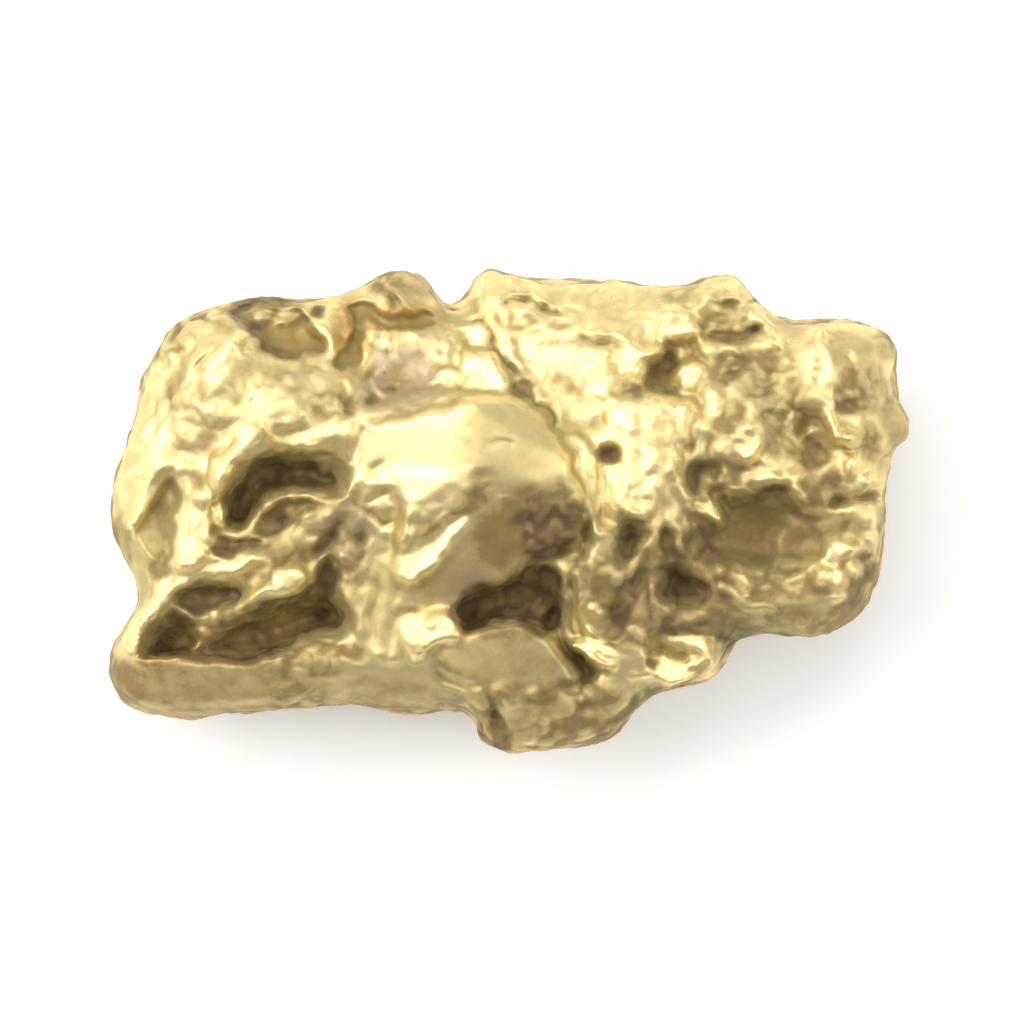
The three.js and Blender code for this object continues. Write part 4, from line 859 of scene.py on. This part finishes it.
def lump_sides(mesh):
    """Low lumps on the underside, fainter on the sides, with none where the piece rests."""
    points = get_points(mesh)
    normals = get_normals(mesh)
    share = SIDE_LUMPS + (1.0 - SIDE_LUMPS) * smoothstep(0.1, 0.6, -normals[:, 2])
    share *= (1.0 - smoothstep(0.0, 0.3, normals[:, 2])) * smoothstep(0.05, 0.6, points[:, 2])
    lumps = wavered(points, LUMP_SIZE, LUMP_HEIGHT, LUMP_SHIFT)[:, 0] * share
    set_points(mesh, points + normals * lumps[:, None])


def refine_face(mesh):
    """Halves the edges of the faces above a height, and makes every face a triangle."""
    shape = bmesh.new()
    shape.from_mesh(mesh)
    high_faces = [face for face in shape.faces if face.calc_center_median().z > FINE_ABOVE]
    edges = list({edge for face in high_faces for edge in face.edges})
    bmesh.ops.subdivide_edges(shape, edges=edges, cuts=1, use_grid_fill=True)
    bmesh.ops.triangulate(shape, faces=shape.faces)
    shape.to_mesh(mesh)
    shape.free()


def sculpt(mesh):
    """Carves the face's relief into the mesh, with the dirt and painted shade that lie on it."""
    points = get_points(mesh)
    edges = get_edges(mesh)
    upward = smoothstep(0.05, 0.4, get_normals(mesh)[:, 2])
    top = np.nonzero(upward > 0)[0]
    plan = points[top].T
    x, y, z = plan.copy()
    waver = sum(wavered(points[top] * (1, 1, 0), *how) for how in WAVERS)
    x += waver[:, 0]
    y += waver[:, 1]
    dirt_and_shade = carve_face(x, y, z, plan)
    points[top, 2] += (z - points[top, 2]) * upward[top]
    # the sides get an even amount: dirt, and painted shade that darkens the rim
    all_dirt_and_shade = np.full((len(points), 1), FLANK_FILM_AND_SHADE)
    all_dirt_and_shade[top, 0] = np.maximum(dirt_and_shade, FLANK_FILM_AND_SHADE * (1.0 - upward[top]))
    paint(mesh, "dirt_and_shade", smoothed(all_dirt_and_shade, edges, 1)[:, 0])
    set_points(mesh, keep_in_height(smoothed(points, edges, WORN_ROUNDS)))


def paint_ground(mesh):
    """Where the skin is knobbly, rusty and dull, by vertex."""
    x, y, _ = get_points(mesh).T
    top = smoothstep(-0.1, 0.3, get_normals(mesh)[:, 2])
    height = 1.0 + SIDE_KNOBS - SIDE_KNOBS * top
    paint(mesh, "knobbly", height - QUIET * spots(x, y, SMOOTH) * top)
    paint(mesh, "rust", spots(x, y, RUST) * top)
    paint(mesh, "dull", spots(x, y, DULL) * top)


def paint_hollows(mesh):
    """How far each vertex is in a hollow, and on a hollow's steep wall, both from 0 to 1."""
    points = get_points(mesh)
    normals = get_normals(mesh)
    edges = get_edges(mesh)
    wide = smoothed(points, edges, WIDE_ROUNDS)
    sunk = np.sum((wide - points) * normals, axis=1)
    broad = smoothed(normals, edges, BROAD_ROUNDS)
    broad /= np.linalg.norm(broad, axis=1)[:, None]
    sunk_broad = np.sum((wide - points) * broad, axis=1)
    depth = 0.4 * sunk + 0.6 * sunk_broad
    # the material darkens hollows and steep walls by these, partly as painted shade
    paint(mesh, "hollow", smoothstep(0.0, FULL_HOLLOW, depth))
    steep = (1.0 - smoothstep(0.55, 0.9, normals[:, 2])) * smoothstep(2.5, 3.2, points[:, 2])
    paint(mesh, "wall", steep * smoothstep(-0.12, 0.02, depth))


# --- the skin ----------------------------------------------------------------------------------

def add_node(tree, kind, settings=None, **inputs):
    """A node with its settings, and with its inputs set to values or linked to other outputs.

    An input is given by its name, with _ for a space, or by its number, as i0, i1 and so on.
    """
    node = tree.nodes.new(kind)
    for name, value in (settings or {}).items():
        setattr(node, name, value)
    for name, value in inputs.items():
        key = int(name[1:]) if name[1:].isdigit() else name.replace("_", " ")
        socket = node.inputs[key]
        if isinstance(value, bpy.types.NodeSocket):
            tree.links.new(value, socket)
        else:
            socket.default_value = value
    return node


def new_skin_tree():
    """An empty tree with the skin's inputs and its output."""
    tree = bpy.data.node_groups.new("nugget skin", "GeometryNodeTree")
    interface = tree.interface
    interface.new_socket("Geometry", in_out="INPUT", socket_type="NodeSocketGeometry")
    for name in SKIN:
        interface.new_socket(name, in_out="INPUT", socket_type="NodeSocketFloat")
    interface.new_socket("Geometry", in_out="OUTPUT", socket_type="NodeSocketGeometry")
    return tree


def skin_cells(tree, given, place):
    """The distance from the middle of the knob that each place is on."""
    bend = add_node(tree, "ShaderNodeTexNoise", {"normalize": False}, Vector=place,
                    Scale=1.6, Detail=1.0)
    bent = add_node(tree, "ShaderNodeVectorMath", {"operation": "MULTIPLY_ADD"},
                    i0=bend.outputs["Color"], i1=(0.3, 0.3, 0.3), i2=place)
    per_knob = add_node(tree, "ShaderNodeMath", {"operation": "DIVIDE"}, i0=1.0, i1=given["Knob Size"])
    cells = add_node(tree, "ShaderNodeTexVoronoi", {"feature": "SMOOTH_F1"}, Vector=bent.outputs[0],
                     Scale=per_knob.outputs[0], Smoothness=0.25)
    return cells.outputs["Distance"]


def skin_height(tree, given, place, cells):
    """The height of the skin: a dome on each knob, and the softer grain."""
    dome = add_node(tree, "ShaderNodeMath", {"operation": "MULTIPLY_ADD"}, i0=cells, i1=-1.6, i2=0.75)
    knobs = add_node(tree, "ShaderNodeMath", {"operation": "MULTIPLY"},
                     i0=dome.outputs[0], i1=given["Knob Height"])
    per_grain = add_node(tree, "ShaderNodeMath", {"operation": "DIVIDE"},
                         i0=1.0, i1=given["Grain Size"])
    grain = add_node(tree, "ShaderNodeTexNoise", {"normalize": False}, Vector=place,
                     Scale=per_grain.outputs[0], Detail=1.0, Roughness=0.45)
    height = add_node(tree, "ShaderNodeMath", {"operation": "MULTIPLY_ADD"},
                      i0=grain.outputs[0], i1=given["Grain Height"], i2=knobs.outputs[0])
    return height.outputs[0]


def skin_tree(material):
    """Small knobs and grain all over a surface, drawn in the mesh's own units.

    Both are as high as the attribute knobbly says. The attribute crease is stored between the
    knobs, for the material's dirt and painted shade.
    """
    tree = new_skin_tree()
    given = add_node(tree, "NodeGroupInput").outputs
    position = add_node(tree, "GeometryNodeInputPosition").outputs[0]
    shifted = add_node(tree, "ShaderNodeVectorMath", {"operation": "ADD"}, i0=position, i1=given["Shift"])
    place = shifted.outputs[0]
    cells = skin_cells(tree, given, place)
    knobbly = add_node(tree, "GeometryNodeInputNamedAttribute", {"data_type": "FLOAT"}, Name="knobbly")
    crease = add_node(tree, "ShaderNodeMapRange", {"interpolation_type": "SMOOTHSTEP"},
                      Value=cells, From_Min=0.25, From_Max=0.8)
    creased = add_node(tree, "ShaderNodeMath", {"operation": "MULTIPLY"},
                       i0=crease.outputs[0], i1=knobbly.outputs[0])
    marked = add_node(tree, "GeometryNodeStoreNamedAttribute", {"data_type": "FLOAT", "domain": "POINT"},
                      Geometry=given["Geometry"], Name="crease", Value=creased.outputs[0])
    lift = add_node(tree, "ShaderNodeMath", {"operation": "MULTIPLY"},
                    i0=skin_height(tree, given, place, cells), i1=knobbly.outputs[0])
    normal = add_node(tree, "GeometryNodeInputNormal").outputs[0]
    offset = add_node(tree, "ShaderNodeVectorMath", {"operation": "SCALE"}, i0=normal, Scale=lift.outputs[0])
    moved = add_node(tree, "GeometryNodeSetPosition", None, Geometry=marked.outputs[0],
                     Offset=offset.outputs[0])
    real = add_node(tree, "GeometryNodeRealizeInstances", None, Geometry=moved.outputs[0])
    finished = add_node(tree, "GeometryNodeSetMaterial", None, Geometry=real.outputs[0], Material=material)
    add_node(tree, "NodeGroupOutput", None, Geometry=finished.outputs[0])
    return tree


def add_skin(piece, material):
    """The piece's mesh with the skin on it."""
    skin = piece.modifiers.new("skin", "NODES")
    skin.node_group = skin_tree(material)
    for item in skin.node_group.interface.items_tree:
        if item.in_out == "INPUT" and item.name in SKIN:
            skin[item.identifier] = SKIN[item.name]
    return baked("nugget", piece)


def make_nugget(material):
    """The visible nugget, in place of its solid."""
    surface, scale = solid_surface()
    piece = bpy.data.objects.new("native_gold_nugget", surface)
    bpy.context.scene.collection.objects.link(piece)
    remesh = piece.modifiers.new("remesh", "REMESH")
    remesh.mode = "VOXEL"
    remesh.voxel_size = COARSE_EDGE
    piece.data = baked("nugget", piece)
    set_points(piece.data, smoothed(get_points(piece.data), get_edges(piece.data), FACET_ROUNDS))
    lump_sides(piece.data)
    refine_face(piece.data)
    sculpt(piece.data)
    paint_ground(piece.data)
    piece.data = add_skin(piece, material)
    set_points(piece.data, keep_in_height(get_points(piece.data)))
    paint_hollows(piece.data)
    piece.data.transform(Matrix.Diagonal((*(1.0 / scale), 1.0)))
    piece.data.polygons.foreach_set("use_smooth", [True] * len(piece.data.polygons))
    piece.data.update()
    return piece


# --- the finish --------------------------------------------------------------------------------

def linear(code):
    """An sRGB hex colour as linear RGBA."""
    channels = [int(code[i:i + 2], 16) / 255 for i in (1, 3, 5)]
    return (*[c / 12.92 if c <= 0.04045 else ((c + 0.055) / 1.055) ** 2.4 for c in channels], 1.0)


def dirt_and_shade_on_skin(tree, masks, patches):
    """How much dirt and painted shade there is, from 0 to 1.

    The painted amount is heavier in creases, and in hollows, where it adds painted shade. Where
    there is little of it, thin tarnish shows in patches, and a film, partly painted shade, clings to steep
    walls.
    """
    uneven = add_node(tree, "ShaderNodeMapRange", None, Value=patches, From_Min=0.3,
                      From_Max=0.7, To_Min=0.7, To_Max=1.1)
    caught = add_node(tree, "ShaderNodeMapRange", None, Value=masks["crease"], To_Min=0.85, To_Max=1.25)
    held = add_node(tree, "ShaderNodeMath", {"operation": "MULTIPLY"},
                    i0=masks["dirt_and_shade"], i1=caught.outputs[0])
    # hollows get more: partly dirt, partly painted shade
    lodged_and_shaded = add_node(tree, "ShaderNodeMath", {"operation": "MULTIPLY_ADD"}, i0=masks["hollow"],
                      i1=0.3, i2=held.outputs[0])
    laid = add_node(tree, "ShaderNodeMath", {"operation": "MULTIPLY_ADD"}, i0=masks["crease"],
                    i1=0.12, i2=lodged_and_shaded.outputs[0])
    tarnish = add_node(tree, "ShaderNodeMapRange", {"interpolation_type": "SMOOTHSTEP"},
                       Value=patches, From_Min=0.46, From_Max=0.58, To_Max=0.24)
    thin_film = add_node(tree, "ShaderNodeMath", {"operation": "MULTIPLY"}, i0=masks["knobbly"],
                         i1=tarnish.outputs[0])
    tarnished = add_node(tree, "ShaderNodeMath", {"operation": "MAXIMUM"}, i0=thin_film.outputs[0],
                         i1=laid.outputs[0])
    patchy = add_node(tree, "ShaderNodeMath", {"operation": "MULTIPLY"},
                      i0=tarnished.outputs[0], i1=uneven.outputs[0])
    # steep walls get a film that is partly painted shade
    clinging_and_shade = add_node(tree, "ShaderNodeMath", {"operation": "MULTIPLY"},
                        i0=masks["wall"], i1=CLINGING_FILM_AND_SHADE)
    dirt_and_shade = add_node(tree, "ShaderNodeMath", {"operation": "MAXIMUM", "use_clamp": True},
                    i0=patchy.outputs[0], i1=clinging_and_shade.outputs[0])
    return dirt_and_shade.outputs[0]


def skin_colour(tree, masks, dirt_and_shade, in_mm):
    """Gold in two tints, its dull and rusted ground, a khaki film on it, and a crust on that; film and crust
    also paint shade.
    """
    blotches = add_node(tree, "ShaderNodeTexNoise", None, Vector=in_mm, Scale=BLOTCHES_PER_MM,
                        Detail=3.0, Roughness=0.55)
    gold = add_node(tree, "ShaderNodeMix", {"data_type": "RGBA"}, i0=blotches.outputs[0],
                    i6=linear(CLEAN_GOLD), i7=linear(WARM_GOLD))
    dulled = add_node(tree, "ShaderNodeMix", {"data_type": "RGBA"}, i0=masks["dull"],
                      i6=gold.outputs[2], i7=linear(DULL_GOLD))
    rusted = add_node(tree, "ShaderNodeMix", {"data_type": "RGBA"}, i0=masks["rust"],
                      i6=dulled.outputs[2], i7=linear(RUSTED_GOLD))
    film_and_shade = add_node(tree, "ShaderNodeMapRange", None, Value=dirt_and_shade, From_Min=0.1, From_Max=0.55)
    film_and_shade_colour = add_node(tree, "ShaderNodeMix", {"data_type": "RGBA"}, i0=masks["wall"],
                           i6=linear(GROUND_FILM_AND_SHADE), i7=linear(WALL_FILM_AND_SHADE))
    filmed = add_node(tree, "ShaderNodeMix", {"data_type": "RGBA"}, i0=film_and_shade.outputs[0],
                      i6=rusted.outputs[2], i7=film_and_shade_colour.outputs[2])
    crust_and_shade = add_node(tree, "ShaderNodeMapRange", None, Value=dirt_and_shade, From_Min=0.5, From_Max=1.0)
    crust_and_shade_colour = add_node(tree, "ShaderNodeMix", {"data_type": "RGBA"}, i0=masks["rust"],
                            i6=linear(BROWN_CRUST_AND_SHADE), i7=linear(RUSTY_CRUST))
    coated = add_node(tree, "ShaderNodeMix", {"data_type": "RGBA"}, i0=crust_and_shade.outputs[0],
                      i6=filmed.outputs[2], i7=crust_and_shade_colour.outputs[2])
    return coated.outputs[2]


def grain_and_pits(tree, in_mm):
    """A normal with hackly grain and fine pitting."""
    grain = add_node(tree, "ShaderNodeTexNoise", None, Vector=in_mm, Scale=GRAINS_PER_MM,
                     Detail=3.0, Roughness=0.6)
    coarse_bump = add_node(tree, "ShaderNodeBump", None, Strength=0.2, Distance=0.02 * MM,
                           Height=grain.outputs[0])
    pitting = add_node(tree, "ShaderNodeTexVoronoi", None, Vector=in_mm, Scale=PITS_PER_MM)
    bump = add_node(tree, "ShaderNodeBump", None, Strength=0.1, Distance=0.01 * MM,
                    Height=pitting.outputs["Distance"], Normal=coarse_bump.outputs[0])
    return bump.outputs[0]


def native_gold():
    """Native gold with a little silver, rolled in a stream bed.

    Gravel has burnished its crests, which give pale, soft highlights. The rest keeps a film of
    clay and iron oxide that dulls it to khaki, and hollows hold enough brown dirt to hide the
    metal, so they are dark and matt. The film and the dirt are also painted shade on faces turned from the
    light, the rim, steep walls and hollows.
    """
    material = bpy.data.materials.new("native gold, stream worn")
    material.use_nodes = True
    tree = material.node_tree
    tree.nodes.clear()
    place = add_node(tree, "ShaderNodeTexCoord").outputs["Object"]
    scaled = add_node(tree, "ShaderNodeVectorMath", {"operation": "SCALE"}, i0=place, Scale=1.0 / MM)
    in_mm = scaled.outputs[0]
    masks = {name: add_node(tree, "ShaderNodeAttribute", {"attribute_name": name}).outputs["Fac"]
             for name in ("hollow", "wall", "dirt_and_shade", "crease", "rust", "dull", "knobbly")}
    patches = add_node(tree, "ShaderNodeTexNoise", None, Vector=in_mm, Scale=PATCHES_PER_MM,
                       Detail=4.0, Roughness=0.6)
    dirt_and_shade = dirt_and_shade_on_skin(tree, masks, patches.outputs[0])
    metallic = add_node(tree, "ShaderNodeMapRange", None, Value=dirt_and_shade, From_Min=0.1,
                        From_Max=0.9, To_Min=1.0, To_Max=0.15)
    roughness = add_node(tree, "ShaderNodeMapRange", None, Value=dirt_and_shade, From_Min=0.0,
                         From_Max=1.0, To_Min=0.48, To_Max=0.75)
    shader = add_node(tree, "ShaderNodeBsdfPrincipled", None,
                      Base_Color=skin_colour(tree, masks, dirt_and_shade, in_mm),
                      Roughness=roughness.outputs[0], Metallic=metallic.outputs[0],
                      Normal=grain_and_pits(tree, in_mm))
    add_node(tree, "ShaderNodeOutputMaterial", None, Surface=shader.outputs[0])
    return material


def lit_acrylic():
    """Opal acrylic lit a little from below, which keeps the ground white and its shadow faint."""
    material = bpy.data.materials.new("opal acrylic, lit from below")
    material.use_nodes = True
    shader = material.node_tree.nodes["Principled BSDF"]
    shader.inputs["Base Color"].default_value = linear("#FCFBF9")
    shader.inputs["Roughness"].default_value = 0.9
    shader.inputs["Emission Color"].default_value = linear("#FFFFFF")
    shader.inputs["Emission Strength"].default_value = FLOOR_GLOW
    return material


# --- the studio --------------------------------------------------------------------------------

def add_floor(size):
    bpy.ops.mesh.primitive_plane_add(size=size)
    floor = bpy.context.object
    floor.name = "floor"
    floor.data.materials.append(lit_acrylic())


def add_softbox(name, target, azimuth, elevation, distance, size, radiance):
    """A rectangular light of a given radiance, facing the target. Azimuth is from +X to +Y."""
    light = bpy.data.lights.new(name, "AREA")
    light.shape = "RECTANGLE"
    light.size, light.size_y = size
    light.energy = radiance * math.pi * size[0] * size[1]
    a, e = math.radians(azimuth), math.radians(elevation)
    towards = Vector((math.cos(a) * math.cos(e), math.sin(a) * math.cos(e), math.sin(e)))
    lamp = bpy.data.objects.new(name, light)
    lamp.location = target + towards * distance
    lamp.rotation_euler = towards.to_track_quat("Z", "Y").to_euler()
    bpy.context.scene.collection.objects.link(lamp)


def add_camera(target, distance, view_width):
    """A long lens that looks straight down on the target."""
    camera = bpy.data.cameras.new("camera")
    camera.sensor_width = 36.0
    camera.lens = camera.sensor_width * distance / view_width
    camera.clip_start = 0.01
    piece = bpy.data.objects.new("camera", camera)
    piece.location = target + Vector((0.0, 0.0, distance))
    bpy.context.scene.collection.objects.link(piece)
    bpy.context.scene.camera = piece


def add_world(radiance):
    world = bpy.data.worlds.new("studio")
    world.use_nodes = True
    background = world.node_tree.nodes["Background"]
    background.inputs["Color"].default_value = (1.0, 1.0, 1.0, 1.0)
    background.inputs["Strength"].default_value = radiance
    bpy.context.scene.world = world


low, high = (Vector(corner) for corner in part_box("nugget"))
length = high.x - low.x
middle = Vector(((low.x + high.x) / 2, (low.y + high.y) / 2, (low.z + high.z) / 2))

seed_set(NOISE_SEED)
nugget = make_nugget(native_gold())
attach(nugget, "root")
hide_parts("nugget")

add_floor(FLOOR_SIZE * length)
for name, azimuth, elevation, distance, width, height, radiance in SOFTBOXES:
    size = (width * length, height * length)
    add_softbox(name, middle, azimuth, elevation, distance * length, size, radiance)
add_world(ROOM_LIGHT)
add_camera(middle, CAMERA_DISTANCE * length, VIEW_WIDTH * length)
bpy.context.scene.view_settings.view_transform = "Standard"
